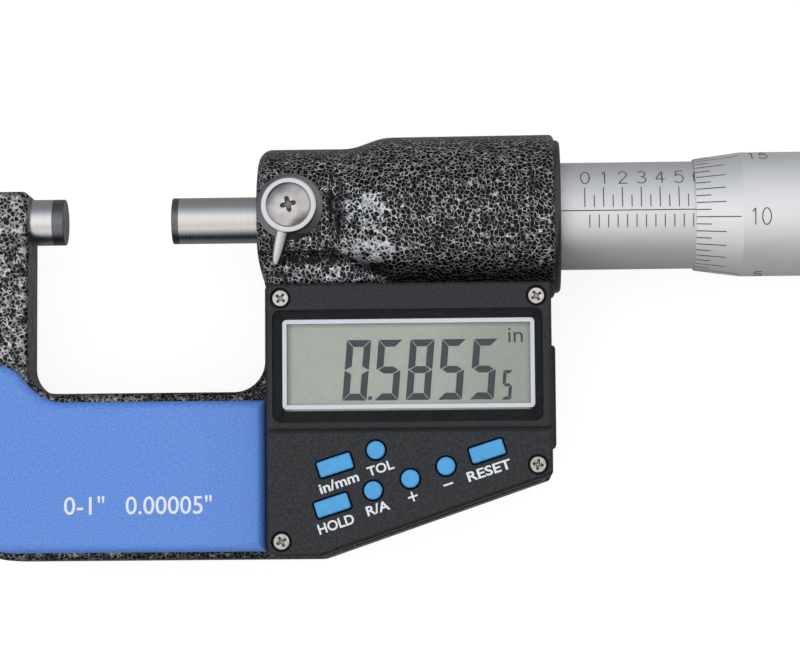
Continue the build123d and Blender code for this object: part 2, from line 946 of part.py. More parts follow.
def key(name):
    """One key: the top that the finger presses, its flange under the cover and its stem."""
    roof = keypad_section_height - cover_roof
    x, y, _ = KEYS[name]
    top = plate(key_face(name), roof - key_flange_thickness, keypad_section_height + key_proud)
    top = chamfer(top.edges().group_by(Axis.Z)[-1], 0.15)
    flange = plate(key_face(name, key_flange), roof - 0.05 - key_flange_thickness, roof - 0.05)
    stem = post(x, y, board_top() + switch_height + key_travel + 0.05, roof - 0.2, 0.7)
    return top + flange + stem


def cross_screw(x, y, face, direction, turn):
    """A small cross-head screw whose head lies at the given height, turned as it was driven home."""
    head = Pos(0, 0, -screw_head_height) * Cylinder(screw_head_radius, screw_head_height, align=TOP_CENTRE)
    head = chamfer(head.edges().group_by(Axis.Z)[-1], 0.12)
    arm = extrude(SlotOverall(screw_cross_length, screw_cross_width), amount=2 * screw_cross_depth)
    for quarter in (0, 90):
        head -= Pos(0, 0, -screw_cross_depth) * Rot(0, 0, turn + quarter) * arm
    shank_end = web_half - screw_depth + 0.2
    shank = Pos(0, 0, shank_end - face) * Cylinder(
        screw_shank_radius, face - screw_head_height - shank_end, align=TOP_CENTRE
    )
    screw = Pos(x, y, face) * (head + shank)
    if direction < 0:
        screw = mirror(screw, Plane.XY)
    return screw.solid()


def front_cover_screws():
    """The four screws of the front cover."""
    screws = []
    for (x, y), turn in zip(cover_screw_places(), screw_turns):
        face = keypad_section_height if y < section_split else display_section_height
        screws.append(cross_screw(x, y, face - 0.2, 1, turn))
    return Compound(screws)


# The back: cover, battery, its cap and the data socket


def back_cover():
    """The moulded back cover, with the battery opening and the socket opening."""
    depth = back_cover_depth
    skin = rounded_plate(cover_face(), -depth, -web_half, cover_edge_round, top=False, bottom=True)
    body = skin - plate(cover_face(cover_wall), -depth + cover_roof, -web_half + 1)
    well = post(battery_x, battery_y, -depth + cover_roof, -web_half - 0.3, battery_radius + 3.2)
    well -= post(battery_x, battery_y, -depth, 0, cap_radius + cap_lug_reach + 0.2)
    body += well
    for x, y in cover_screw_places():
        body += post(x, y, -depth + cover_roof, -web_half, boss_radius)
    body -= barrel_clearance(0.15)
    for x, y in cover_screw_places():
        body -= post(x, y, -depth - 1, 0, screw_shank_radius + 0.1)
        body -= post(x, y, -depth - 1, -depth + screw_head_height + 0.2, counterbore_radius)
    body -= post(battery_x, battery_y, -depth - 1, -depth + cover_roof + 0.1, cap_radius + sliding_fit)
    notch = Box(2 * (cap_radius + cap_lug_reach + 0.15), 3.2, 3 * cover_roof)
    body -= Pos(battery_x, battery_y, -depth) * Rot(0, 0, -60) * notch
    body -= port_opening(sliding_fit)
    return body


def port_opening(gap):
    """The opening of the data socket in the cover's right wall."""
    return block(
        cover_right - cover_wall - 1, cover_right + 1,
        port_y - port_length / 2 - gap, port_y + port_length / 2 + gap,
        port_middle - port_height / 2 - gap, port_middle + port_height / 2 + gap,
    )


def data_port_cover():
    """The plug over the data socket, with a rib to pull it by."""
    inside = cover_right - cover_wall
    outside = cover_right + port_proud
    face = block(
        inside, outside, port_y - port_length / 2, port_y + port_length / 2,
        port_middle - port_height / 2, port_middle + port_height / 2,
    )
    face = fillet(face.edges().group_by(Axis.X)[-1], port_edge_round)
    half = port_tongue_length / 2
    rise = port_tongue_thickness / 2
    tongue = block(
        inside - port_tongue_depth, inside, port_y - half, port_y + half,
        port_middle - rise, port_middle + rise,
    )
    return face + tongue


def data_socket():
    """The data socket behind its cover, seated on the frame."""
    right = cover_right - cover_wall - 0.1
    half = socket_length / 2
    body = block(
        right - socket_depth, right, port_y - half, port_y + half, port_middle - 2, -web_half - seat_fit
    )
    side = mouth_length / 2
    mouth = block(
        right - mouth_depth, right + 1, port_y - side, port_y + side, port_middle - 1.1, port_middle + 1.1
    )
    return body - mouth


def battery():
    """The button cell."""
    can = post(battery_x, battery_y, battery_low, battery_low + battery_thickness, battery_radius)
    return chamfer(can.edges().group_by(Axis.Z)[0], 0.4)


def battery_contact():
    """The spring plate between the cell and the frame."""
    high = -web_half - 0.02
    low = high - contact_thickness
    half = contact_tab_width / 2
    disc = post(battery_x, battery_y, low, high, battery_radius - 0.8)
    tab = block(battery_x, battery_x + contact_reach, battery_y - half, battery_y + half, low, high)
    return disc + tab - post(battery_x, battery_y, high - 1, high + 1, 1.5)


def battery_cap():
    """The bayonet cap over the cell, with a coin slot and two lugs."""
    outside = -back_cover_depth + 0.15
    inside = outside + cap_thickness
    cap = post(battery_x, battery_y, outside, inside, cap_radius)
    cap += post(battery_x, battery_y, inside, -back_cover_depth + cover_roof + 1.0, cap_radius - 0.4) - post(
        battery_x, battery_y, inside, 0, battery_radius + 0.2
    )
    lug_low = -back_cover_depth + cover_roof + 0.15
    lugs = Pos(battery_x, battery_y, lug_low) * Box(
        2 * (cap_radius + cap_lug_reach), 2.6, 0.75, align=TOP_CENTRE
    )
    lugs &= post(battery_x, battery_y, -back_cover_depth, 0, cap_radius + cap_lug_reach - 0.1)
    cap += lugs - post(battery_x, battery_y, -back_cover_depth, 0, battery_radius + 0.2)
    slot = Box(1.3 * cap_radius, coin_slot_width, 2 * coin_slot_depth)
    return cap - Pos(battery_x, battery_y, outside) * slot


def back_cover_screws():
    """The four screws of the back cover."""
    return Compound([
        cross_screw(x, y, back_cover_depth - 0.2, -1, turn)
        for (x, y), turn in zip(cover_screw_places(), screw_turns)
    ])


# The grip plates


def grip_plate(side):
    """The insulating plate on one face of the beam, with its three pins."""
    body = rounded_plate(grip_face(), web_half, web_half + grip_thickness, grip_edge_round)
    for x, y in grip_pin_places():
        body += post(x, y, web_half - grip_pin_length, web_half + 0.5, grip_pin_radius)
    if side < 0:
        body = mirror(body, Plane.XY)
    return body


def build():
    """Every piece by its name."""
    pieces = {
        "frame": frame(),
        "anvil": anvil(),
        "anvil_tip": anvil_tip(),
        "barrel_end_ring": barrel_end_ring(),
        "sleeve": sleeve(),
        "screw_nut": screw_nut(),
        "adjusting_nut": adjusting_nut(),
        "encoder_stator": encoder_stator(),
        "sensor_ribbon": sensor_ribbon(),
        "encoder_rotor": encoder_rotor(),
        "rotor_key": rotor_key(),
        "spindle": spindle(),
        "spindle_tip": spindle_tip(),
        "thimble": thimble(),
        "stop_stud": stop_stud(),
        "stop_screw": stop_screw(),
        "stop_knob": stop_knob(),
        "stop_washers": stop_washers(),
        "lock_pad": lock_pad(),
        "lock_shaft": lock_shaft(),
        "lock_lever": lock_lever(),
        "lock_screw": lock_screw(),
        "front_cover": front_cover(),
        "display_window": display_window(),
        "lcd_panel": lcd_panel(),
        "display_connectors": display_connectors(),
        "circuit_board": circuit_board(),
        "key_switches": key_switches(),
        "front_cover_screws": front_cover_screws(),
        "back_cover": back_cover(),
        "battery": battery(),
        "battery_contact": battery_contact(),
        "battery_cap": battery_cap(),
        "data_socket": data_socket(),
        "data_port_cover": data_port_cover(),
        "back_cover_screws": back_cover_screws(),
        "grip_plate_front": grip_plate(1),
        "grip_plate_back": grip_plate(-1),
    }
    for name in KEYS:
        pieces[name] = key(name)
    return pieces


os.makedirs("parts", exist_ok=True)
for piece_name, piece in build().items():
    export_step(piece, f"parts/{piece_name}.step")
    print(piece_name, len(piece.solids()), round(piece.volume, 1))
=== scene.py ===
# %% [markdown]
# A digital outside micrometer
#
# The micrometer lies flat on its back under soft studio light. Its solids come from the CAD frame and
# stay as they are. This script gives each of them its finish, and adds what a CAD file leaves out:
# the graduations of the sleeve and thimble, the knurl, the digits of the display and the labels.

# %% Load the frame and keep its box
import json
import math

import bpy
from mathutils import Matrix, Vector


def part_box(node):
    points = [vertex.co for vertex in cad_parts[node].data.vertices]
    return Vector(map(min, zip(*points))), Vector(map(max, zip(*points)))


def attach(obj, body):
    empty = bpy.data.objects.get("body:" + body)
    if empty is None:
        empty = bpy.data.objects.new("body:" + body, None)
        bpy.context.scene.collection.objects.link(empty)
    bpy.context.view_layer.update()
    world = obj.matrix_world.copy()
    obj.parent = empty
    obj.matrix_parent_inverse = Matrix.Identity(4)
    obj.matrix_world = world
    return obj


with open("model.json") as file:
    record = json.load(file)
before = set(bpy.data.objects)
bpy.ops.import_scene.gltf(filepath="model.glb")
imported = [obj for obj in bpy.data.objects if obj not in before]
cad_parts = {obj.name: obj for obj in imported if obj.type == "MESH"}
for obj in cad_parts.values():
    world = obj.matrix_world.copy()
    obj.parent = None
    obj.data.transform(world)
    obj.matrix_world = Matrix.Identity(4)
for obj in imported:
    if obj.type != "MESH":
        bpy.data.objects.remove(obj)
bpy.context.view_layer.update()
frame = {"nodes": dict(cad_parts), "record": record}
nodes = frame["nodes"]
mm = 0.001
print("CAD nodes:", len(nodes))

# %% [markdown]
# The camera looks almost straight down on the display. It stands a little below the middle of the
# instrument and is tilted back up by the same small angle, so that the sides of the covers just show.
# A constraint could aim it, but a fixed place and turn are easier to set finely.

# %% Camera
camera_place = (0.05883, -0.05137, 0.393)
camera_turn = [math.radians(angle) for angle in (5.271, 1.906, -0.451)]
bpy.ops.object.camera_add(location=camera_place, rotation=camera_turn)
camera = bpy.context.object
camera.name = "studio_camera"
camera.data.sensor_width = 36
camera.data.lens = 129.5
camera.data.clip_start = 0.01
bpy.context.scene.camera = camera
bpy.context.scene.view_settings.view_transform = "Standard"
print("lens:", camera.data.lens, "mm")

# %% [markdown]
# Satin metal shows the room more than the lamps. Round bars are brightest where they face up, grey
# towards the top of the picture and dark towards the bottom, so the room gets those tones. One weak
# lamp hangs high above the left end and puts a soft highlight on the crest of every bar. A second,
# stronger one stands further to the left and draws the shadow. Both are large, which keeps them soft.

# %% Lamps
middle_of_instrument = Vector((0.05, -0.01, 0))


def soft_lamp(name, place, size, power, colour):
    """A large square lamp at a place, aimed at the middle of the instrument."""
    bpy.ops.object.light_add(type="AREA", location=place)
    lamp = bpy.context.object
    lamp.name = name
    lamp.data.size = size
    lamp.data.energy = power
    lamp.data.color = colour
    lamp.rotation_euler = (lamp.location - middle_of_instrument).to_track_quat("Z", "Y").to_euler()


soft_lamp("top_lamp", (-0.08, -0.02, 0.75), 0.6, 0.18, (1.0, 0.98, 0.95))
soft_lamp("side_lamp", (-0.32, 0.12, 0.6), 0.7, 0.6, (0.94, 0.97, 1.0))

# %% [markdown]
# The room itself is a gradient on directions. A colour ramp reads how far each direction leans from
# the lower right corner of the picture, which is dark near the floor, towards the upper left corner.
# Walls could be built instead, but a gradient has no edges that a bar would mirror.

# %% Room
upper_left = (-0.6, 0.8, 0)
steepest = 0.8
room = bpy.data.worlds.new("studio_room")
bpy.context.scene.world = room
room.use_nodes = True
room_nodes = room.node_tree.nodes
room_links = room.node_tree.links
direction = room_nodes.new("ShaderNodeTexCoord")
leaning = room_nodes.new("ShaderNodeVectorMath")
leaning.operation = "DOT_PRODUCT"
leaning.inputs[1].default_value = upper_left
lean = room_nodes.new("ShaderNodeMapRange")
lean.inputs["From Min"].default_value = -steepest
lean.inputs["From Max"].default_value = steepest
room_ramp = room_nodes.new("ShaderNodeValToRGB")
room_tones = ((0.0, (0.02, 0.022, 0.03)), (0.045, (0.035, 0.037, 0.045)), (0.075, (0.42, 0.41, 0.42)),
              (0.12, (0.8, 0.78, 0.77)), (0.16, (1.18, 1.16, 1.13)), (0.22, (1.1, 1.08, 1.06)),
              (0.3, (0.86, 0.84, 0.83)), (0.48, (0.92, 0.9, 0.88)), (0.6, (0.86, 0.87, 0.89)),
              (0.86, (0.7, 0.74, 0.8)), (0.95, (0.4, 0.43, 0.48)), (1.0, (0.26, 0.28, 0.32)))
stops = room_ramp.color_ramp.elements
while len(stops) < len(room_tones):
    stops.new(0.5)
for stop, (position, colour) in zip(stops, room_tones):
    stop.position = position
    stop.color = (*colour, 1)
room_links.new(direction.outputs["Generated"], leaning.inputs[0])
room_links.new(leaning.outputs["Value"], lean.inputs["Value"])
room_links.new(lean.outputs["Result"], room_ramp.inputs["Fac"])
room_links.new(room_ramp.outputs["Color"], room_nodes["Background"].inputs["Color"])
room_nodes["Background"].inputs["Strength"].default_value = 1.2
print("room tones:", len(stops))

# %% [markdown]
# The floor is a plain pale sheet. It glows, but only to the camera and in reflections, so that it
# reads as white paper while only the lamps and the room light the instrument.

# %% Floor
floor_gap = 0.02 * mm
glow = (("Is Camera Ray", 0.86), ("Is Transmission Ray", 0.86), ("Is Glossy Ray", 0.08))
floor_height = min(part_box(name)[0].z for name in nodes)
bpy.ops.mesh.primitive_plane_add(size=3, location=(0, 0, floor_height - floor_gap))
floor = bpy.context.object
floor.name = "floor"
paper = bpy.data.materials.new("paper")
paper.use_nodes = True
paper_shader = paper.node_tree.nodes["Principled BSDF"]
paper_shader.inputs["Base Color"].default_value = (0.25, 0.25, 0.25, 1)
paper_shader.inputs["Roughness"].default_value = 0.9
paper_shader.inputs["Specular IOR Level"].default_value = 0.0
paper_shader.inputs["Emission Color"].default_value = (1, 1, 1, 1)
rays = paper.node_tree.nodes.new("ShaderNodeLightPath")
seen = None
for ray, strength in glow:
    share = paper.node_tree.nodes.new("ShaderNodeMath")
    share.operation = "MULTIPLY_ADD"
    share.inputs[1].default_value = strength
    share.inputs[2].default_value = 0
    paper.node_tree.links.new(rays.outputs[ray], share.inputs[0])
    if seen:
        paper.node_tree.links.new(seen.outputs[0], share.inputs[2])
    seen = share
paper.node_tree.links.new(seen.outputs[0], paper_shader.inputs["Emission Strength"])
floor.data.materials.append(paper)
print("floor at", round(floor_height / mm, 2), "mm")

# %% [markdown]
# Every finish starts from one shader with a colour, a roughness and a share of metal. What varies over
# a surface comes from noise. It reads Object coordinates, which stay on the piece when it moves, and
# its sizes are in metres.


# %% Finish helpers
def new_finish(name, colour, roughness, metallic=0.0):
    """A material with one plain shader."""
    finish = bpy.data.materials.new(name)
    finish.use_nodes = True
    shader = finish.node_tree.nodes["Principled BSDF"]
    shader.inputs["Base Color"].default_value = (*colour, 1)
    shader.inputs["Roughness"].default_value = roughness
    shader.inputs["Metallic"].default_value = metallic
    return finish


def add(finish, kind, **sockets):
    """A new node of a finish, with some of its sockets filled in."""
    node = finish.node_tree.nodes.new("ShaderNode" + kind)
    for name, value in sockets.items():
        node.inputs[name.replace("_", " ")].default_value = value
    return node


def join(finish, source, output, target, socket):
    """Joins one node's output to another node's socket."""
    finish.node_tree.links.new(source.outputs[output], target.inputs[socket])


def shader_of(finish):
    """The one shader that a finish starts from."""
    return finish.node_tree.nodes["Principled BSDF"]


def shine(finish, level):
    """How strongly a surface that is not metal mirrors the room."""
    shader_of(finish).inputs["Specular IOR Level"].default_value = level


def placed(finish, kind, **sockets):
    """A new node that reads Object coordinates."""
    node = add(finish, kind, **sockets)
    join(finish, add(finish, "TexCoord"), "Object", node, "Vector")
    return node


def pattern(finish, size, stretch=(1, 1, 1), detail=3.0):
    """Noise whose patches have one size in metres, drawn out along an axis where stretch is small."""
    mapping = placed(finish, "Mapping", Scale=stretch)
    noise = add(finish, "TexNoise", Scale=1 / size, Detail=detail)
    join(finish, mapping, "Vector", noise, "Vector")
    return noise


def remap(finish, source, output, span, low, high):
    """Turns the span of a node's output into a value from low to high."""
    ramp = add(finish, "MapRange", From_Min=span[0], From_Max=span[1], To_Min=low, To_Max=high)
    join(finish, source, output, ramp, "Value")
    return ramp


print("noise helpers ready")

# %% [markdown]
# No real surface is the same all over. Three helpers add that: a grain of bumps some thousandths or
# hundredths of a millimetre high, patches that are more or less polished, and patches that are
# lighter or darker.


# %% Grain, gloss and tone
def grain(finish, size, depth, stretch=(1, 1, 1)):
    """A fine relief of bumps over any relief that is already there."""
    noise = pattern(finish, size, stretch)
    bump = add(finish, "Bump", Distance=depth)
    join(finish, noise, "Fac", bump, "Height")
    normal = shader_of(finish).inputs["Normal"]
    if normal.links:
        finish.node_tree.links.new(normal.links[0].from_socket, bump.inputs["Normal"])
    join(finish, bump, "Normal", shader_of(finish), "Normal")


def gloss(finish, size, low, high, stretch=(1, 1, 1)):
    """Patches that are a little more or less polished."""
    noise = pattern(finish, size, stretch)
    join(finish, remap(finish, noise, "Fac", (0.3, 0.7), low, high), 0, shader_of(finish), "Roughness")


def tone(finish, size, dark, light, stretch=(1, 1, 1)):
    """Patches that are a little darker or lighter."""
    noise = pattern(finish, size, stretch)
    ramp = add(finish, "ValToRGB")
    ramp.color_ramp.elements[0].position = 0.35
    ramp.color_ramp.elements[0].color = (*dark, 1)
    ramp.color_ramp.elements[1].position = 0.65
    ramp.color_ramp.elements[1].color = (*light, 1)
    join(finish, noise, "Fac", ramp, "Fac")
    join(finish, ramp, "Color", shader_of(finish), "Base Color")


print("finish helpers ready")

# %% [markdown]
# The frame is a casting in black crackle enamel, which differs from place to place. Painting that by
# hand would need an unwrapped mesh, so three helpers say where instead: a ramp along one axis, an
# oval patch with a ragged rim, and plain sums of both.

# %% Masks for the enamel
noise_span = (0.35, 0.65)


def ramp_along(finish, axis, start, end, low, high):
    """A value that goes from low to high between two places along an axis, in millimetres."""
    return remap(finish, placed(finish, "SeparateXYZ"), axis, (start * mm, end * mm), low, high)


def oval_patch(finish, middle, reach, inside, outside=0.0):
    """One value inside an oval with a ragged rim and another outside it, sizes in millimetres."""
    scale = [1 / (size * mm) for size in reach]
    spread = placed(finish, "Mapping", Scale=scale, Location=[-a * mm * b for a, b in zip(middle, scale)])
    far = add(finish, "VectorMath")
    far.operation = "LENGTH"
    ragged = remap(finish, pattern(finish, 0.0012, detail=2), "Fac", noise_span, -0.45, 0.45)
    total = add(finish, "Math")
    join(finish, spread, "Vector", far, 0)
    join(finish, far, "Value", total, 0)
    join(finish, ragged, "Result", total, 1)
    return remap(finish, total, "Value", (0.8, 1.2), inside, outside)


def combined(finish, operation, first, second):
    """Two values added, multiplied or compared, with the result held between 0 and 1."""
    result = add(finish, "Math")
    result.operation = operation
    result.use_clamp = True
    finish.node_tree.links.new(first.outputs[0], result.inputs[0])
    finish.node_tree.links.new(second.outputs[0], result.inputs[1])
    return result


print("masks ready")

# %% [markdown]
# The enamel draws together into glossy dark cells under a millimetre wide, and a bright metallic net
# shows between them. A picture of the net would stretch over the rounded casting. A Voronoi texture
# that measures the distance to the nearest cell edge gives the net in space instead, and warping its
# coordinates with noise takes away the straight edges that a Voronoi net has. Where three cells meet
# the net is wider, which a second Voronoi texture finds as the points farthest from every centre.

# %% Net of the enamel
cell_size = 0.0006
warps_per_metre = 1900
warp_reach = 0.00045


def warped_place(finish):
    """Object coordinates that are pushed to and fro by a fine noise."""
    wobble = placed(finish, "TexNoise", Scale=warps_per_metre, Detail=1)
    shift = add(finish, "VectorMath")
    shift.operation = "MULTIPLY_ADD"
    shift.inputs[1].default_value = (warp_reach,) * 3
    join(finish, wobble, "Color", shift, 0)
    join(finish, add(finish, "TexCoord"), "Object", shift, 2)
    return shift


def enamel_net(finish, widest):
    """One on the bright net and nought on the cells; widest is how wide its widest lines are."""
    place = warped_place(finish)
    edges = add(finish, "TexVoronoi", Scale=1 / cell_size)
    edges.feature = "DISTANCE_TO_EDGE"
    centres = add(finish, "TexVoronoi", Scale=1 / cell_size)
    join(finish, place, "Vector", edges, "Vector")
    join(finish, place, "Vector", centres, "Vector")
    width = remap(finish, pattern(finish, 0.0013, detail=2), "Fac", noise_span, 0.06, 1)
    join(finish, widest, 0, width, "To Max")
    lines = remap(finish, edges, "Distance", (0.01, 1), 1, 0)
    lines.interpolation_type = "SMOOTHSTEP"
    join(finish, width, "Result", lines, "From Max")
    corners = remap(finish, centres, "Distance", (0.78, 0.96), 0, 0.8)
    return combined(finish, "MAXIMUM", lines, corners)


print("cells of the enamel:", cell_size / mm, "mm")

# %% [markdown]
# The enamel is worn where it is on any used instrument, and it differs from place to place. Behind the
# lever and along the ledge the net is wider and paler: partly wear, partly a painted highlight where the
# slope and the ledge catch the light. Low down, under the barrel and in the creases round the barrel the
# net is darker: painted shade, because less light comes in there.

# %% Wear, painted highlight and painted shade of the enamel
# Each oval has its middle, its reach and how far the net is widened and paled inside it, by wear and
# painted highlight.
worn_and_highlit_ovals = (((42.0, 0.25, 10), (3.2, 1.5, 10), 0.34), ((42.0, -5.5, 10), (3.2, 1.5, 10), 0.42),
                ((42.0, -2.6, 10), (3.4, 4.4, 10), 0.13), ((35.5, -8.6, 6), (8.5, 1.6, 10), 0.15))
shaded_creases = (((34.5, -6.2, 8), (6.5, 0.5, 12)), ((43.0, -7.6, 8), (2.4, 0.8, 12)),
                ((37.1, 1.4, 10), (0.45, 1.9, 12)), ((38.0, -1.6, 10), (0.45, 1.9, 12)))


def rubbed_share(finish):
    """How far the net is widened and paled by wear and painted highlight, from the strongest oval at each
    place.
    """
    worn_and_highlit = oval_patch(finish, *worn_and_highlit_ovals[0])
    for oval in worn_and_highlit_ovals[1:]:
        worn_and_highlit = combined(finish, "MAXIMUM", worn_and_highlit, oval_patch(finish, *oval))
    return worn_and_highlit


def clean_share(finish):
    """How much of the net's brightness is left after painted shade: one in the open, and less low down,
    under the barrel and in creases.
    """
    unshaded = combined(finish, "MULTIPLY", ramp_along(finish, "Z", 2.5, 5.8, 0.4, 1.0),
                     ramp_along(finish, "Y", -22, -18, 0.6, 1.0))
    shade_under_barrel = combined(finish, "MAXIMUM", ramp_along(finish, "Y", -8.6, -6.6, 0.35, 1.0),
                            ramp_along(finish, "X", 46, 42, 0.0, 1.0))
    unshaded = combined(finish, "MULTIPLY", unshaded, shade_under_barrel)
    for middle, reach in shaded_creases:
        unshaded = combined(finish, "MULTIPLY", unshaded, oval_patch(finish, middle, reach, 0.2, 1.0))
    return unshaded


print("rubbed ovals:", len(worn_and_highlit_ovals), "dark creases:", len(shaded_creases))

# %% [markdown]
# The shader then takes its colour, metal, polish and relief from the same net, so that a bright line is
# also a raised and metallic one.

# %% Crackle enamel
enamel_black = (0.002, 0.002, 0.0025)
bare_metal_and_highlight = (0.62, 0.7, 0.78)


def colour_mix(finish, share):
    """A mix of two colours, which are its inputs 6 and 7, by a share."""
    mix = add(finish, "Mix")
    mix.data_type = "RGBA"
    join(finish, share, 0, mix, "Factor")
    return mix


def crackle_enamel():
    """Black glossy cells in a silver net, paler where it is worn and has a painted highlight, darker where
    it has painted shade.
    """
    finish = new_finish("crackle_enamel", enamel_black, 0.25)
    shader = shader_of(finish)
    shine(finish, 0.12)
    # Wear and a painted highlight widen and pale the net inside the ovals.
    worn_and_highlit = rubbed_share(finish)
    widest = combined(finish, "ADD", ramp_along(finish, "X", -2, 28, 0.34, 0.13), worn_and_highlit)
    net = enamel_net(finish, widest)

    silver = remap(finish, pattern(finish, 0.0007, detail=2), "Fac", noise_span, 0.2, 0.68)
    # Painted shade darkens the net low down, under the barrel and in the creases.
    silver = combined(finish, "MULTIPLY", silver, clean_share(finish))
    colour = colour_mix(finish, net)
    colour.inputs[6].default_value = (*enamel_black, 1)
    join(finish, silver, 0, colour, 7)
    pale = colour_mix(finish, combined(finish, "MULTIPLY", worn_and_highlit, net))
    pale.inputs[7].default_value = (*bare_metal_and_highlight, 1)
    join(finish, colour, 2, pale, 6)
    join(finish, pale, 2, shader, "Base Color")

    join(finish, remap(finish, net, 0, (0, 1), 0, 0.85), 0, shader, "Metallic")
    join(finish, remap(finish, net, 0, (0, 1), 0.2, 0.32), 0, shader, "Roughness")
    relief = add(finish, "Bump", Distance=0.00006)
    join(finish, net, 0, relief, "Height")
    join(finish, relief, "Normal", shader, "Normal")
    grain(finish, 0.0006, 0.00005)
    return finish


frame_paint = crackle_enamel()
print("made", frame_paint.name)

# %% [markdown]
# The measuring line is all metal, in four finishes. The sleeve, thimble and stop knob are chrome plated
# over a fine blast, so they are satin and even. The spindle and anvil are ground between centres, which
# leaves fine rings round them: the noise is drawn out round the bar and is very fine along it. The
# carbide tips are dark and lapped, and the screws are nickel plated.

# %% Metal finishes
satin_chrome = new_finish("satin_chrome", (0.69, 0.69, 0.695), 0.56, 0.86)
gloss(satin_chrome, 0.004, 0.53, 0.59)
grain(satin_chrome, 0.00008, 0.000003)

blasted_chrome = new_finish("blasted_chrome", (0.75, 0.75, 0.755), 0.58, 0.78)
gloss(blasted_chrome, 0.004, 0.55, 0.61)
grain(blasted_chrome, 0.00008, 0.000004)

ground_steel = new_finish("ground_steel", (0.53, 0.52, 0.51), 0.26, 1.0)
tone(ground_steel, 0.00045, (0.515, 0.505, 0.495), (0.545, 0.535, 0.525), stretch=(1, 0.02, 0.02))
gloss(ground_steel, 0.00012, 0.23, 0.29, stretch=(1, 0.02, 0.02))
grain(ground_steel, 0.00007, 0.000002, stretch=(1, 0.02, 0.02))

carbide = new_finish("lapped_carbide", (0.13, 0.135, 0.145), 0.28, 0.9)
tone(carbide, 0.0004, (0.11, 0.115, 0.125), (0.135, 0.14, 0.15))
grain(carbide, 0.00006, 0.000002)

dome_nickel = new_finish("dome_nickel", (0.5, 0.48, 0.48), 0.3, 1.0)
# The pink, blue and cream patches are painted reflections of a coloured room, spread at random.
tone(dome_nickel, 0.0028, (0.4, 0.36, 0.4), (0.6, 0.58, 0.52))
gloss(dome_nickel, 0.001, 0.26, 0.36)
grain(dome_nickel, 0.0014, 0.00004)

screw_plate = new_finish("nickel_plate", (0.46, 0.44, 0.41), 0.34, 1.0)
tone(screw_plate, 0.0005, (0.36, 0.34, 0.32), (0.56, 0.54, 0.5))
gloss(screw_plate, 0.0005, 0.28, 0.42)
grain(screw_plate, 0.0004, 0.00003)

# A darker metal, as painted shade in the middle of the lever screw's recess.
recess_metal = new_finish("recess_metal", (0.16, 0.15, 0.15), 0.4, 1.0)
tone(recess_metal, 0.0002, (0.1, 0.095, 0.095), (0.24, 0.225, 0.225))

spring_brass = new_finish("spring_brass", (0.72, 0.52, 0.22), 0.3, 1.0)
gloss(spring_brass, 0.001, 0.22, 0.38)
grain(spring_brass, 0.0002, 0.000006)

cell_steel = new_finish("cell_steel", (0.66, 0.66, 0.64), 0.3, 1.0)
gloss(cell_steel, 0.002, 0.22, 0.36)
grain(cell_steel, 0.0001, 0.000004)
print("metals ready")

# %% [markdown]
# The lever is bright chrome, but its round foot, which is lower than the rest, is left grey, and the arm
# has painted shade that darkens it away from its left side. Two pieces would show a joint where there is
# none, so it is one finish with two ramps: one on the height, and one across the arm, on coordinates
# turned with it.

# %% Lever finish
foot_top = 9.6
ring_low = 9.85
arm_turn = 13.3


def lever_chrome():
    """Bright chrome with a grey foot and an arm with painted shade that darkens it away from its left
    side.
    """
    finish = new_finish("bright_chrome", (0.56, 0.555, 0.56), 0.2, 1.0)
    foot_or_ring = add(finish, "ValToRGB")
    foot_or_ring.color_ramp.elements[0].color = (0.2, 0.2, 0.205, 1)
    foot_or_ring.color_ramp.elements[1].color = (0.5, 0.495, 0.5, 1)
    join(finish, ramp_along(finish, "Z", foot_top, ring_low, 0, 1), "Result", foot_or_ring, "Fac")
    along_arm = placed(finish, "Mapping", Rotation=(0, 0, math.radians(arm_turn)))
    arm_axes = add(finish, "SeparateXYZ")
    join(finish, along_arm, "Vector", arm_axes, "Vector")
    # Painted shade: the arm darkens away from its left side.
    shaded_side = remap(finish, arm_axes, "X", (30.3 * mm, 31.1 * mm), 1, 0.35)
    arm_shade = add(finish, "VectorMath")
    arm_shade.operation = "SCALE"
    off_the_arm = ramp_along(finish, "Y", -3.3, -2.9, 0.0, 1.0)
    join(finish, foot_or_ring, "Color", arm_shade, 0)
    join(finish, combined(finish, "MAXIMUM", shaded_side, off_the_arm), 0, arm_shade, "Scale")
    join(finish, arm_shade, "Vector", shader_of(finish), "Base Color")
    matt_or_bright = ramp_along(finish, "Z", foot_top, ring_low, 0.5, 0.24)
    join(finish, matt_or_bright, "Result", shader_of(finish), "Roughness")
    grain(finish, 0.0009, 0.00001)
    return finish


bright_chrome = lever_chrome()
print("made", bright_chrome.name)

# %% [markdown]
# The covers are moulded in black plastic with a fine spark-eroded grain, which is two sizes of noise
# over each other. The grip plates are smoother: a satin blue with hardly any grain. The keys are paler
# and glossier still.

# %% Plastic finishes
black_cover = new_finish("grained_black", (0.012, 0.0135, 0.016), 0.5)
shine(black_cover, 0.35)
tone(black_cover, 0.00026, (0.003, 0.004, 0.006), (0.023, 0.025, 0.029))
grain(black_cover, 0.00022, 0.00004)
grain(black_cover, 0.0009, 0.00003)

ring_black = new_finish("smooth_black", (0.02, 0.02, 0.022), 0.3)
gloss(ring_black, 0.003, 0.26, 0.36)
grain(ring_black, 0.0004, 0.000005)

grip_blue = new_finish("satin_blue", (0.1, 0.255, 0.7), 0.38)
tone(grip_blue, 0.00024, (0.07, 0.208, 0.61), (0.124, 0.292, 0.79))
gloss(grip_blue, 0.01, 0.33, 0.42)
grain(grip_blue, 0.0004, 0.000008)

key_blue = new_finish("key_blue", (0.07, 0.38, 0.79), 0.35)
tone(key_blue, 0.0004, (0.053, 0.335, 0.68), (0.066, 0.375, 0.75))
grain(key_blue, 0.0004, 0.000008)

socket_black = new_finish("plain_black", (0.025, 0.025, 0.026), 0.5)
grain(socket_black, 0.0004, 0.00002)
print("plastics ready")

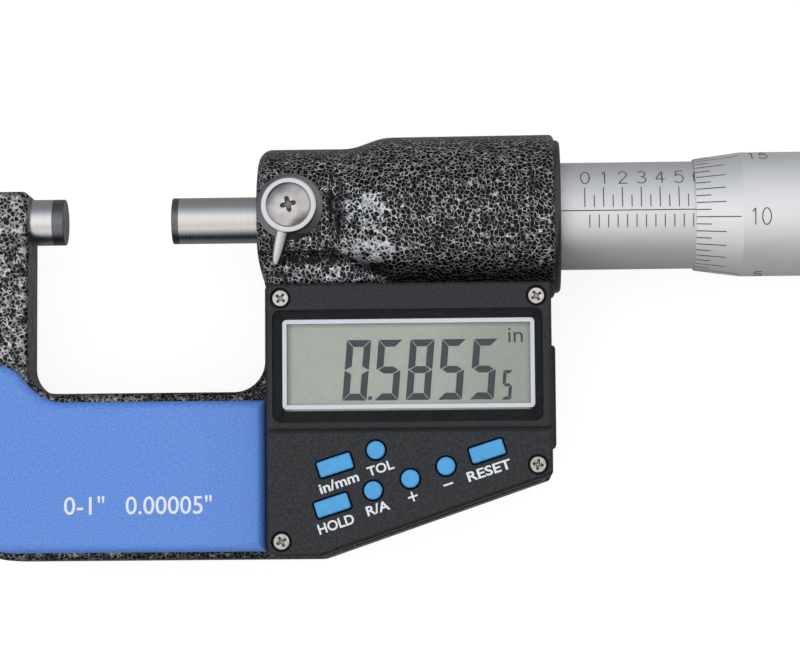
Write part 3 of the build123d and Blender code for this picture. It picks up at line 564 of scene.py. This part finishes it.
# %% [markdown]
# The window is thin clear plastic. Light has to reach the display under it, so it is let through by
# the shader's alpha, and only its gloss remains. The display is a grey green polariser, a little uneven.

# %% Display finishes
window_glass = new_finish("window_clear", (0.05, 0.055, 0.055), 0.08)
shader_of(window_glass).inputs["Alpha"].default_value = 0.07
grain(window_glass, 0.002, 0.00001)

panel_grey = new_finish("polariser", (0.47, 0.515, 0.45), 0.4)
shine(panel_grey, 0.2)
tone(panel_grey, 0.0008, (0.48, 0.527, 0.46), (0.52, 0.57, 0.5))
grain(panel_grey, 0.0005, 0.000006)
print("window and panel ready")

# %% [markdown]
# The display lies deep under the window, so its edges are in shade. No lamp can be set so finely, so
# the finish itself darkens towards each edge. The same shading dulls the cover's two lower screws.


# %% Shade at the edges
def shade_across(finish, axis, dark_end, light_end, low):
    """Darkens the base colour towards one side, between two places along an axis in millimetres."""
    share = ramp_along(finish, axis, dark_end, light_end, low, 1)
    share.interpolation_type = "SMOOTHSTEP"
    scaled = add(finish, "VectorMath")
    scaled.operation = "SCALE"
    base = shader_of(finish).inputs["Base Color"]
    finish.node_tree.links.new(base.links[0].from_socket, scaled.inputs[0])
    join(finish, share, "Result", scaled, "Scale")
    join(finish, scaled, "Vector", shader_of(finish), "Base Color")


shade_across(panel_grey, "X", 30.9, 32.1, 0.4)
shade_across(panel_grey, "X", 63.9, 63.0, 0.7)
shade_across(panel_grey, "X", 60.0, 50.0, 0.84)
shade_across(panel_grey, "Y", -15.3, -16.1, 0.62)
shade_across(panel_grey, "Y", -26.3, -25.8, 0.85)
shade_across(screw_plate, "Y", -33.0, -25.0, 0.84)
print("edges shaded")

# %% [markdown]
# Print and ink are thin and nearly even, and so is the painted shade in the gaps and recesses, so a little
# tone is all that they need.

# %% Print, ink and painted shade
segment_grey = new_finish("segment_grey", (0.07, 0.078, 0.088), 0.45)
shine(segment_grey, 0.2)
tone(segment_grey, 0.0008, (0.062, 0.07, 0.08), (0.082, 0.092, 0.102))

window_print = new_finish("window_print", (0.0045, 0.005, 0.0065), 0.3)
shine(window_print, 0.1)
tone(window_print, 0.0004, (0.003, 0.0035, 0.005), (0.006, 0.0068, 0.009))
gloss(window_print, 0.004, 0.22, 0.34)

white_print = new_finish("white_print", (0.8, 0.82, 0.88), 0.45)
tone(white_print, 0.0002, (0.72, 0.74, 0.81), (0.82, 0.84, 0.91))

scale_ink = new_finish("scale_ink", (0.05, 0.045, 0.045), 0.5)
tone(scale_ink, 0.0003, (0.035, 0.032, 0.032), (0.08, 0.072, 0.07))

# Painted shadow for the gaps round the keys.
gap_black = new_finish("gap_black", (0.002, 0.003, 0.01), 0.7)
shine(gap_black, 0.0)
tone(gap_black, 0.0003, (0.001, 0.0015, 0.006), (0.003, 0.005, 0.016))

# Painted shade for the screw recesses.
dark_grease = new_finish("dark_grease", (0.02, 0.018, 0.016), 0.4)
tone(dark_grease, 0.0002, (0.012, 0.011, 0.01), (0.04, 0.036, 0.032))
print("print and ink ready")

# %% [markdown]
# Inside, the boards are green laminate with copper under the lacquer, the ribbon is amber film, and
# the contact strips are soft rubber in fine dark and light layers.

# %% Finishes of the inner pieces
board_green = new_finish("board_lacquer", (0.02, 0.16, 0.06), 0.35)
tone(board_green, 0.0012, (0.015, 0.13, 0.05), (0.035, 0.24, 0.09), stretch=(1, 0.2, 1))
grain(board_green, 0.0006, 0.00002)

sensor_board = new_finish("sensor_laminate", (0.04, 0.2, 0.1), 0.4)
tone(sensor_board, 0.001, (0.03, 0.16, 0.08), (0.4, 0.28, 0.1), stretch=(1, 1, 0.2))

ribbon_amber = new_finish("amber_film", (0.5, 0.22, 0.03), 0.3)
tone(ribbon_amber, 0.0005, (0.42, 0.18, 0.03), (0.6, 0.3, 0.06), stretch=(1, 1, 0.02))

strip_rubber = new_finish("contact_rubber", (0.4, 0.26, 0.26), 0.6)
tone(strip_rubber, 0.0001, (0.05, 0.05, 0.05), (0.6, 0.4, 0.4), stretch=(1, 0.05, 0.05))
print("inner finishes ready")

# %% [markdown]
# The record names a finish for every node, so one loop dresses the whole frame. Two nodes then get
# another one: the thimble is paler than the sleeve, and the screw of the lever has a nickel dome.

# %% Dress the CAD nodes
finishes = {
    "frame_paint": frame_paint, "satin_chrome": satin_chrome, "ground_steel": ground_steel,
    "carbide": carbide, "bright_chrome": bright_chrome, "screw_plate": screw_plate,
    "black_cover": black_cover, "ring_black": ring_black, "grip_blue": grip_blue,
    "key_blue": key_blue, "window_glass": window_glass, "panel_grey": panel_grey,
    "board_green": board_green, "strip_rubber": strip_rubber, "sensor_board": sensor_board,
    "ribbon_amber": ribbon_amber, "spring_brass": spring_brass, "cell_steel": cell_steel,
    "socket_black": socket_black,
}
for row in frame["record"]["subparts"]:
    piece = nodes[row["node"]]
    piece.data.materials.clear()
    piece.data.materials.append(finishes[row["material_slot"]])
nodes["thimble"].data.materials[0] = blasted_chrome
nodes["lock_screw"].data.materials[0] = dome_nickel

# %% [markdown]
# Flat printed shapes all start the same way: a circle primitive with as many corners as the shape,
# filled, its corners moved to their places and its face extruded to a thin closed plate. Print could
# be an image too, but plates stay sharp however near the camera comes.


# %% Helpers for new pieces
def only(thing):
    """Selects one object and nothing else."""
    bpy.ops.object.select_all(action="DESELECT")
    thing.select_set(True)
    bpy.context.view_layer.objects.active = thing


def thicken(height):
    """Extrudes what is in edit mode straight up to a closed plate, in millimetres."""
    bpy.ops.mesh.select_all(action="SELECT")
    bpy.ops.mesh.extrude_region_move(TRANSFORM_OT_translate={"value": (0, 0, height * mm)})
    bpy.ops.mesh.select_all(action="SELECT")
    bpy.ops.mesh.normals_make_consistent(inside=False)
    bpy.ops.object.mode_set(mode="OBJECT")


def thin_plate(corners, low, high):
    """A closed plate from (x, y) corners in millimetres, between two heights."""
    bpy.ops.mesh.primitive_circle_add(vertices=len(corners), radius=mm, fill_type="NGON")
    plate = bpy.context.object
    for vertex, (x, y) in zip(plate.data.vertices, corners):
        vertex.co = (x * mm, y * mm, low * mm)
    only(plate)
    bpy.ops.object.mode_set(mode="EDIT")
    thicken(high - low)
    return plate


def settle(thing):
    """Moves an object's place, turn and scale into its mesh."""
    only(thing)
    bpy.ops.object.transform_apply(location=True, rotation=True, scale=True)
    return thing


def gather(things, name):
    """Joins objects into one piece with one name."""
    only(things[0])
    for thing in things:
        thing.select_set(True)
    if len(things) > 1:
        bpy.ops.object.join()
    piece = bpy.context.object
    piece.name = name
    piece.data.name = name
    return settle(piece)


def finish_piece(piece, finish, body):
    """Gives a new piece its finish and the body it rides on."""
    piece.data.materials.clear()
    piece.data.materials.append(finish)
    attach(piece, body)
    print(piece.name, len(piece.data.polygons), "faces, on", body)


# %% [markdown]
# The digits of the display have seven segments each, leaning a little to the right. A segment is a
# plate with mitred ends, and a fine gap parts it from its neighbours. A font with such figures would
# be quicker, but here four sizes give the outlines, and four of the seven are mirrored from the rest.

# %% Segment outlines
digit_width = 3.25
digit_height = 8.12
stroke = 0.93
gap = 0.06
lean_of_digits = 0.085


def segment_outlines(width, height, thick, slit):
    """The corners of the seven segments, a to g, of an upright digit."""
    middle = height / 2
    half = thick / 2
    inner = width - thick
    top = [(slit, height), (width - slit, height),
           (inner - slit, height - thick), (thick + slit, height - thick)]
    upper_left = [(0, height - slit), (thick, height - thick - slit), (thick, middle + half + slit),
                  (0.1 * thick, middle + slit), (0, middle + 2 * slit)]
    tip = 0.25 * thick + slit
    crossbar = [(tip, middle), (thick + slit, middle + half), (inner - slit, middle + half),
                (width - tip, middle), (inner - slit, middle - half), (thick + slit, middle - half)]
    return {
        "a": top,
        "f": upper_left,
        "g": crossbar,
        "b": [(width - x, y) for x, y in upper_left],
        "e": [(x, height - y) for x, y in upper_left],
        "c": [(width - x, height - y) for x, y in upper_left],
        "d": [(x, height - y) for x, y in top],
    }


segments_lit = {"0": "abcdef", "5": "acdfg", "8": "abcdefg"}
print("segments of a digit:", len(segment_outlines(digit_width, digit_height, stroke, gap)))

# %% [markdown]
# The reading is five tall digits, a small one for the half step, and a point. They lie on the panel.


# %% The reading on the display
def digit(number, left, bottom, width, height, thick, slit):
    """The lit segments of one digit, as thin plates just above the panel."""
    plates = []
    outlines = segment_outlines(width, height, thick, slit)
    for letter in segments_lit[number]:
        corners = [(left + x + lean_of_digits * y, bottom + y) for x, y in outlines[letter]]
        plates.append(thin_plate(corners, panel_top, print_top))
    return plates


panel_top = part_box("lcd_panel")[1].z / mm
print_top = panel_top + 0.02
first_left = 38.53
pitch_of_digits = 4.25
foot = -25.67
point = [(42.0, -25.6), (42.5, -25.6), (42.54, -25.12), (42.04, -25.12)]
reading = []
for index, number in enumerate("05855"):
    left = first_left + pitch_of_digits * index
    reading += digit(number, left, foot, digit_width, digit_height, stroke, gap)
reading += digit("5", 59.8, -25.74, 1.3, 3.95, 0.44, 0.04)
reading.append(thin_plate(point, panel_top, print_top))
finish_piece(gather(reading, "display_reading"), segment_grey, "body")

# %% [markdown]
# Letters are text objects. Each word is given a thickness, turned into a mesh, scaled to the height
# and width that it has on the instrument, and only then put in its place. An offset makes it bolder.


# %% Letters
def lettering(words, middle, height, width, turn, low, high, offset=0.0):
    """Words as thin closed letters, centred on a place and turned on the face."""
    bpy.ops.object.text_add()
    letters = bpy.context.object
    letters.data.body = words
    letters.data.extrude = 0.5
    letters.data.offset = offset
    letters.data.resolution_u = 4
    only(letters)
    bpy.ops.object.convert(target="MESH")
    corners = [vertex.co.copy() for vertex in letters.data.vertices]
    low_corner = [min(corner[axis] for corner in corners) for axis in range(3)]
    size = [max(corner[axis] for corner in corners) - low_corner[axis] for axis in range(3)]
    target = (width * mm, height * mm, (high - low) * mm)
    for vertex in letters.data.vertices:
        vertex.co = [(vertex.co[axis] - low_corner[axis]) / size[axis] * target[axis] for axis in range(3)]
        vertex.co.x -= target[0] / 2
        vertex.co.y -= target[1] / 2
    letters.rotation_euler = (0, 0, math.radians(turn))
    letters.location = (middle[0] * mm, middle[1] * mm, low * mm)
    only(letters)
    bpy.ops.object.mode_set(mode="EDIT")
    bpy.ops.mesh.select_all(action="SELECT")
    bpy.ops.mesh.remove_doubles(threshold=0.0000005)
    bpy.ops.object.mode_set(mode="OBJECT")
    return settle(letters)


unit = lettering("in", (61.78, -17.1), 1.9, 1.95, 0, panel_top, print_top)
finish_piece(gather([unit], "display_unit"), segment_grey, "body")

# %% [markdown]
# The labels of the keys follow the slant of the cover's lower edge, and the range is printed on the
# blue plate. Each word has its own middle, height and width, so that it fills the place it has.

# %% Labels
slant = 17.8
cover_face = 10.0
bold = 0.022
ink = (-0.02, 0.015)
on_cover = [cover_face + height for height in ink]
key_words = (
    ("in/mm", (38.05, -36.64), 1.4, 5.45, slant + 1),
    ("HOLD", (37.65, -42.15), 1.38, 4.95, slant),
    ("TOL", (43.6, -34.75), 1.3, 3.6, slant),
    ("R/A", (43.22, -40.07), 1.34, 3.15, slant),
    ("RESET", (58.07, -35.18), 1.35, 6.05, slant),
)
labels = [lettering(*word, *on_cover, bold) for word in key_words]
labels.append(lettering("+", (47.89, -38.58), 1.35, 1.35, slant, *on_cover))
labels.append(lettering("-", (52.62, -36.99), 0.24, 1.35, slant, *on_cover))
finish_piece(gather(labels, "key_labels"), white_print, "body")

plate_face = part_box("grip_plate_front")[1].z / mm
on_plate = [plate_face + height for height in ink]
range_words = [
    lettering("0-1\"", (3.6, -39.3), 2.5, 5.45, 0, *on_plate, 0.006),
    lettering("0.00005\"", (15.0, -39.3), 2.5, 11.6, 0, *on_plate, 0.006),
]
finish_piece(gather(range_words, "range_print"), white_print, "body")

# %% [markdown]
# Each key's opening has a thin dark line round it, a painted shadow of the gap round the key. A tube on a
# curve would stand up too far. A round line is a circle primitive and a long one a plane with its corners
# bevelled. An inset draws the ring, the middle is deleted, and what is left is extruded to a closed ring.

# %% Painted shadow round the key openings
rim_width = 0.17
opening_radius = 1.3
opening_sides = (4.8, 2.3)


def flat_ring(face, corner, steps, width, height):
    """Turns a flat face into a closed ring of a width and height, after rounding its corners."""
    settle(face)
    bpy.ops.object.mode_set(mode="EDIT")
    bpy.ops.mesh.select_all(action="SELECT")
    if corner:
        bpy.ops.mesh.bevel(offset=corner * mm, segments=steps, affect="VERTICES")
        bpy.ops.mesh.select_all(action="SELECT")
    bpy.ops.mesh.inset(thickness=width * mm)
    bpy.ops.mesh.delete(type="FACE")
    thicken(height)
    return face


def opening_rim(name):
    """A thin dark ring of painted shadow round one key's opening, just above the cover."""
    low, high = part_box(name)
    is_round = high.x - low.x < 4 * mm
    if is_round:
        outer = (opening_radius + rim_width) * mm
        bpy.ops.mesh.primitive_circle_add(vertices=48, radius=outer, fill_type="NGON")
    else:
        bpy.ops.mesh.primitive_plane_add(size=1)
        bpy.context.object.scale = [(side + 2 * rim_width) * mm for side in opening_sides] + [1]
        bpy.context.object.rotation_euler = (0, 0, math.radians(slant))
    rim = bpy.context.object
    rim.location = ((low.x + high.x) / 2, (low.y + high.y) / 2, (cover_face - 0.01) * mm)
    return flat_ring(rim, 0 if is_round else 0.5, 4, rim_width, 0.02)


key_names = [row["node"] for row in frame["record"]["subparts"] if row["material_slot"] == "key_blue"]
# Each key's opening gets a ring of painted shadow.
shadow_rims = [opening_rim(name) for name in key_names]
finish_piece(gather(shadow_rims, "key_opening_rims"), gap_black, "body")

# %% [markdown]
# The window is printed on its inner face: a dark mask out to its edge, and a white line that frames
# the display. Both are rings too, so the same helper makes them. The mask takes its outer edge from
# the window's own box, a little inside it.


# %% Window print
def printed_ring(name, left, bottom, right, top, corner, width, low, high):
    """A flat closed ring with rounded corners, sizes in millimetres."""
    bpy.ops.mesh.primitive_plane_add(size=1)
    ring = bpy.context.object
    ring.scale = ((right - left) * mm, (top - bottom) * mm, 1)
    ring.location = ((left + right) / 2 * mm, (bottom + top) / 2 * mm, low * mm)
    return gather([flat_ring(ring, corner, 8, width, high - low)], name)


window_low, window_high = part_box("display_window")
mask_height = window_low.z / mm + 0.01
inward = 0.02
mask = printed_ring("window_mask", window_low.x / mm + inward, window_low.y / mm + inward,
                    window_high.x / mm - inward, window_high.y / mm - inward, 1.1, 1.55,
                    mask_height, mask_height + 0.02)
finish_piece(mask, window_print, "body")
border = printed_ring("window_border", 30.55, -26.78, 64.31, -14.76, 0.55, 0.56,
                      mask_height + 0.01, mask_height + 0.04)
finish_piece(border, white_print, "body")

# %% [markdown]
# The cross recesses of the screws get painted shade. Darkening the screw's own finish there would need a
# mask for every screw, so it is a thin dark cross deep in each recess, turned as the screw was driven
# home. A smaller cross on top is plain screw metal in the middle of the painted shade.


# %% Painted shade in the screw recesses
def cross_outline(x, y, length, width, turn):
    """The twelve corners of an equal-armed cross, turned about its middle."""
    reach = length / 2
    half = width / 2
    arm = [(reach, -half), (reach, half), (half, half)]
    corners = []
    for quarter in range(4):
        angle = math.radians(turn + 90 * quarter)
        for a, b in arm:
            corners.append((x + a * math.cos(angle) - b * math.sin(angle),
                            y + a * math.sin(angle) + b * math.cos(angle)))
    return corners


film = 0.02
shade_cross = (1.46, 0.34)
unshaded_cross = (0.72, 0.09)
recess_depth = 0.3
back_floor = -10.82
screws = ((30.35, -11.9, 10.2, 52), (64.6, -11.9, 10.2, 33),
          (30.35, -44.42, 9.8, 29), (64.6, -34.46, 9.8, 80))
shade_plates = []
floors = []
# Each screw gets a dark cross of painted shade in its recess, and one on the back cover, with a cross of
# plain screw metal in the middle.
for x, y, face, turn in screws:
    low = face - recess_depth
    outline = cross_outline(x, y, *shade_cross, turn)
    shade_plates.append(thin_plate(outline, low, low + film))
    shade_plates.append(thin_plate(outline, back_floor, back_floor + film))
    floors.append(thin_plate(cross_outline(x, y, *unshaded_cross, turn), low + film, low + 2 * film))
finish_piece(gather(shade_plates, "screw_grease"), dark_grease, "body")
finish_piece(gather(floors, "screw_recess_floors"), screw_plate, "body")
lock_place = (31.53, 0.65)
lock_turn = 13
lock_low = 11.16
# The lever's screw gets the same painted shade, with darker metal in the middle of its recess.
lock_cross = cross_outline(*lock_place, 2.3, 0.7, lock_turn)
lock_grease = thin_plate(lock_cross, lock_low, lock_low + film)
finish_piece(gather([lock_grease], "lock_grease"), dark_grease, "lock")
lock_cross = cross_outline(*lock_place, 0.9, 0.4, lock_turn)
lock_floor = thin_plate(lock_cross, lock_low + film, lock_low + 2 * film)
finish_piece(gather([lock_floor], "lock_recess_floor"), recess_metal, "lock")

# %% [markdown]
# The graduations are cut into the metal and filled with dark ink. A line is a slender box primitive
# that is cut across into short lengths by bisects, so that it can follow the curve. It is laid out
# flat, with x along the spindle, y as the distance round the sleeve and z as the height above the
# metal, and the wrap then rolls it round. That keeps every width true, which a projection would not.

# %% Wrap helpers
piece_length = 0.4
line_thickness = 0.05
line_sink = 0.015


def rolled(piece, radius_at, turn=0.0):
    """Rolls a flat layout round the spindle axis; radius_at gives the metal's radius at each x."""
    for vertex in piece.data.vertices:
        x, around, height = vertex.co
        radius = radius_at(x)
        angle = around / radius + math.radians(turn)
        reach = radius + height
        vertex.co = (x, reach * math.sin(angle), reach * math.cos(angle))
    return piece


def ruled_line(x_low, x_high, y_low, y_high):
    """One graduation line as a slender closed box, in millimetres, cut into short lengths across."""
    bpy.ops.mesh.primitive_cube_add(size=1)
    line = bpy.context.object
    line.scale = ((x_high - x_low) * mm, (y_high - y_low) * mm, line_thickness * mm)
    line.location = ((x_low + x_high) / 2 * mm, (y_low + y_high) / 2 * mm, -line_sink * mm)
    settle(line)
    cuts = int((y_high - y_low) / piece_length)
    for index in range(1, cuts):
        place = y_low + (y_high - y_low) * index / cuts
        bpy.ops.object.mode_set(mode="EDIT")
        bpy.ops.mesh.select_all(action="SELECT")
        bpy.ops.mesh.bisect(plane_co=(0, place * mm, 0), plane_no=(0, 1, 0))
        bpy.ops.object.mode_set(mode="OBJECT")
    return line


print("a line is a box", line_thickness, "mm thick")

# %% [markdown]
# A figure on the instrument is one stroke of the engraver's tool. A font would give it thick and thin
# parts, so each figure is drawn as a few strokes in a box one high and 0.6 wide, on curves with an even
# round section, and wrapped like the lines.


# %% Engraved figures
def bow(x, y, wide, high, start, end, steps=14):
    """Points along part of an oval, from one angle to another."""
    turns = [math.radians(start + (end - start) * step / steps) for step in range(steps + 1)]
    return [(x + wide * math.cos(turn), y + high * math.sin(turn)) for turn in turns]


figure_strokes = {
    "0": [bow(0.3, 0.5, 0.3, 0.5, 90, 450, 24)],
    "1": [[(0.16, 0.78), (0.36, 1.0), (0.36, 0.0)]],
    "2": [bow(0.3, 0.72, 0.28, 0.28, 170, -35, 12) + [(0.02, 0.0), (0.6, 0.0)]],
    "3": [bow(0.29, 0.75, 0.27, 0.25, 150, -90, 12) + bow(0.29, 0.26, 0.31, 0.26, 90, -150, 12)],
    "4": [[(0.62, 0.3), (0.0, 0.3), (0.42, 1.0), (0.42, 0.0)]],
    "5": [[(0.56, 1.0), (0.12, 1.0), (0.06, 0.55)] + bow(0.28, 0.33, 0.31, 0.33, 125, -150, 14)],
    "6": [[(0.5, 0.97)] + bow(0.34, 0.5, 0.34, 0.5, 110, 180, 6) + bow(0.3, 0.3, 0.3, 0.3, 180, 540, 18)],
    "7": [[(0.0, 1.0), (0.6, 1.0), (0.2, 0.0)]],
    "8": [bow(0.3, 0.74, 0.25, 0.26, -90, 270, 18) + bow(0.3, 0.24, 0.3, 0.24, 90, -270, 18)],
    "9": [bow(0.3, 0.7, 0.3, 0.3, 0, 360, 18) + bow(0.26, 0.5, 0.34, 0.5, 0, -70, 6)],
}


def finely(points, step=0.08):
    """The same stroke with enough points on its straight runs to follow a curve."""
    made = [points[0]]
    for (x, y), (next_x, next_y) in zip(points, points[1:]):
        count = max(1, math.ceil(math.dist((x, y), (next_x, next_y)) / step))
        for index in range(1, count + 1):
            made.append((x + (next_x - x) * index / count, y + (next_y - y) * index / count))
    return made


stroke_radius = 0.105
stroke_sink = 0.03


def engraved(number, middle, bottom, height, narrow=0.86, pitch=0.72):
    """A number in single strokes, laid out flat about its middle, in millimetres."""
    drawing = bpy.data.curves.new("figure", "CURVE")
    drawing.dimensions = "3D"
    drawing.bevel_depth = stroke_radius * mm
    drawing.bevel_resolution = 0
    drawing.use_fill_caps = True
    left = middle - (pitch * (len(number) - 1) + 0.6 * narrow) * height / 2
    for index, figure in enumerate(number):
        for stroke_points in figure_strokes[figure]:
            points = finely(stroke_points)
            path = drawing.splines.new("POLY")
            path.points.add(len(points) - 1)
            for point, (x, y) in zip(path.points, points):
                place = (left + (x * narrow + index * pitch) * height, bottom + y * height)
                point.co = (place[0] * mm, place[1] * mm, -stroke_sink * mm, 1)
    thing = bpy.data.objects.new("figure", drawing)
    bpy.context.collection.objects.link(thing)
    only(thing)
    bpy.ops.object.convert(target="MESH")
    return bpy.context.object


print("figures that can be engraved:", "".join(figure_strokes))

# %% [markdown]
# The sleeve carries an inch scale: a line every 0.025 inch, by turns above and below the datum line so
# that they stay clear of each other, and a figure every 0.1 inch. Loops set them out from the zero
# mark by one spacing.

# %% Sleeve scale
sleeve_radius = 7.35
zero_mark = 71.37
tenth = 2.54
line_width = 0.14
half_line = line_width / 2
datum_turn = -1.3
datum_ends = (68.2, 100.3)
figure_height = 2.25
marks = [ruled_line(*datum_ends, -half_line, half_line)]
for index in range(21):
    place = zero_mark + index * tenth / 2
    high = 2.15 if index % 2 else 3.3
    marks.append(ruled_line(place - half_line, place + half_line, 0.45, high))
for index in range(20):
    place = zero_mark + (index + 0.5) * tenth / 2
    marks.append(ruled_line(place - half_line, place + half_line, -2.33, -0.57))
for index in range(11):
    marks.append(engraved(str(index % 10), zero_mark + index * tenth + 0.1, 3.95, figure_height))
sleeve_scale = gather(marks, "sleeve_scale")
rolled(sleeve_scale, lambda x: sleeve_radius * mm, datum_turn)
finish_piece(sleeve_scale, scale_ink, "body")

# %% [markdown]
# The thimble has 50 lines, so one is half a thousandth of an inch. Every second line is longer, and
# every tenth is the longest and has its figure. The first part of a line lies on the cone. The
# thimble is turned so that it reads 10.55 against the datum, as the display says.

# %% Thimble scale
thimble_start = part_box("thimble")[0].x / mm
cone_length = 6.35
lip_radius = 7.63
thimble_radius = 8.5


def thimble_surface(x):
    """The radius of the thimble at one place, on the cone and past it."""
    share = min(max((x / mm - thimble_start) / cone_length, 0), 1)
    return (lip_radius + (thimble_radius - lip_radius) * share) * mm


reading_now = 10.55
degrees_each = 360 / 50
thimble_marks = []
for index in range(50):
    length = 5.95 if index % 10 == 0 else (4.0 if index % 2 == 0 else 2.0)
    line = ruled_line(thimble_start + 0.03, thimble_start + length, -half_line, half_line)
    turn = datum_turn + (index / 2 - reading_now) * 2 * degrees_each
    thimble_marks.append(rolled(line, thimble_surface, turn))
for number in (0, 5, 10, 15, 20):
    figure = engraved(str(number), 94.9, -1.12, figure_height)
    turn = datum_turn + (number - reading_now) * 2 * degrees_each
    thimble_marks.append(rolled(figure, thimble_surface, turn))
finish_piece(gather(thimble_marks, "thimble_scale"), scale_ink, "spindle_set")

# %% [markdown]
# The thimble is gripped at a band of diamond knurl. Cutting its grooves into a tube would leave long
# thin faces, so the band is a grid primitive. Every second point of the grid, as on a chessboard, is
# the tip of a diamond and is raised.

# %% Knurl
knurl_start = 102.5
knurl_length = 17.0
knurl_base = 8.31
knurl_rise = 0.17
columns = 34
rows = 104
around = 2 * math.pi * knurl_base
bpy.ops.mesh.primitive_grid_add(x_subdivisions=columns, y_subdivisions=rows, size=1)
knurl = bpy.context.object
knurl.scale = ((knurl_length - 0.04) * mm, around * mm, 1)
knurl.location = ((knurl_start + knurl_length / 2) * mm, 0, 0)
settle(knurl)
across = sorted({round(vertex.co.x, 7) for vertex in knurl.data.vertices})
along = sorted({round(vertex.co.y, 7) for vertex in knurl.data.vertices})
places = {}
for vertex in knurl.data.vertices:
    column = min(range(len(across)), key=lambda n: abs(across[n] - vertex.co.x))
    row = min(range(len(along)), key=lambda n: abs(along[n] - vertex.co.y))
    places[vertex.index] = (column, row)
    if (column + row) % 2 == 0 and 0 < column < len(across) - 1:
        vertex.co.z = knurl_rise * mm
print("knurl grid:", len(across), "by", len(along), "points")

# %% [markdown]
# Each square of the grid is now split along the diagonal that joins its two low corners, so the facets
# meet in straight grooves. The band is rolled round like the scales, closed, and given a wall.


# %% Split, roll and thicken the knurl
def split_squares(grid, raised_first, method):
    """Splits the squares whose first corner is raised, or those whose first corner is low."""
    bpy.ops.object.mode_set(mode="OBJECT")
    for face in grid.data.polygons:
        column, row = places[face.vertices[0]] if len(face.vertices) == 4 else (0, 0)
        face.select = len(face.vertices) == 4 and ((column + row) % 2 == 0) == raised_first
    bpy.ops.object.mode_set(mode="EDIT")
    bpy.ops.mesh.quads_convert_to_tris(quad_method=method)
    bpy.ops.object.mode_set(mode="OBJECT")


only(knurl)
bpy.ops.object.mode_set(mode="EDIT")
bpy.ops.mesh.select_mode(type="FACE")
bpy.ops.mesh.select_all(action="DESELECT")
split_squares(knurl, True, "FIXED_ALTERNATE")
split_squares(knurl, False, "FIXED")
rolled(knurl, lambda x: knurl_base * mm)
bpy.ops.object.mode_set(mode="EDIT")
bpy.ops.mesh.select_all(action="SELECT")
bpy.ops.mesh.remove_doubles(threshold=0.00001)
bpy.ops.mesh.normals_make_consistent(inside=False)
bpy.ops.object.mode_set(mode="OBJECT")
wall = knurl.modifiers.new("wall", "SOLIDIFY")
wall.thickness = 0.08 * mm
wall.offset = -1
bpy.ops.object.modifier_apply(modifier="wall")
knurl.name = "thimble_knurl"
finish_piece(knurl, blasted_chrome, "spindle_set")
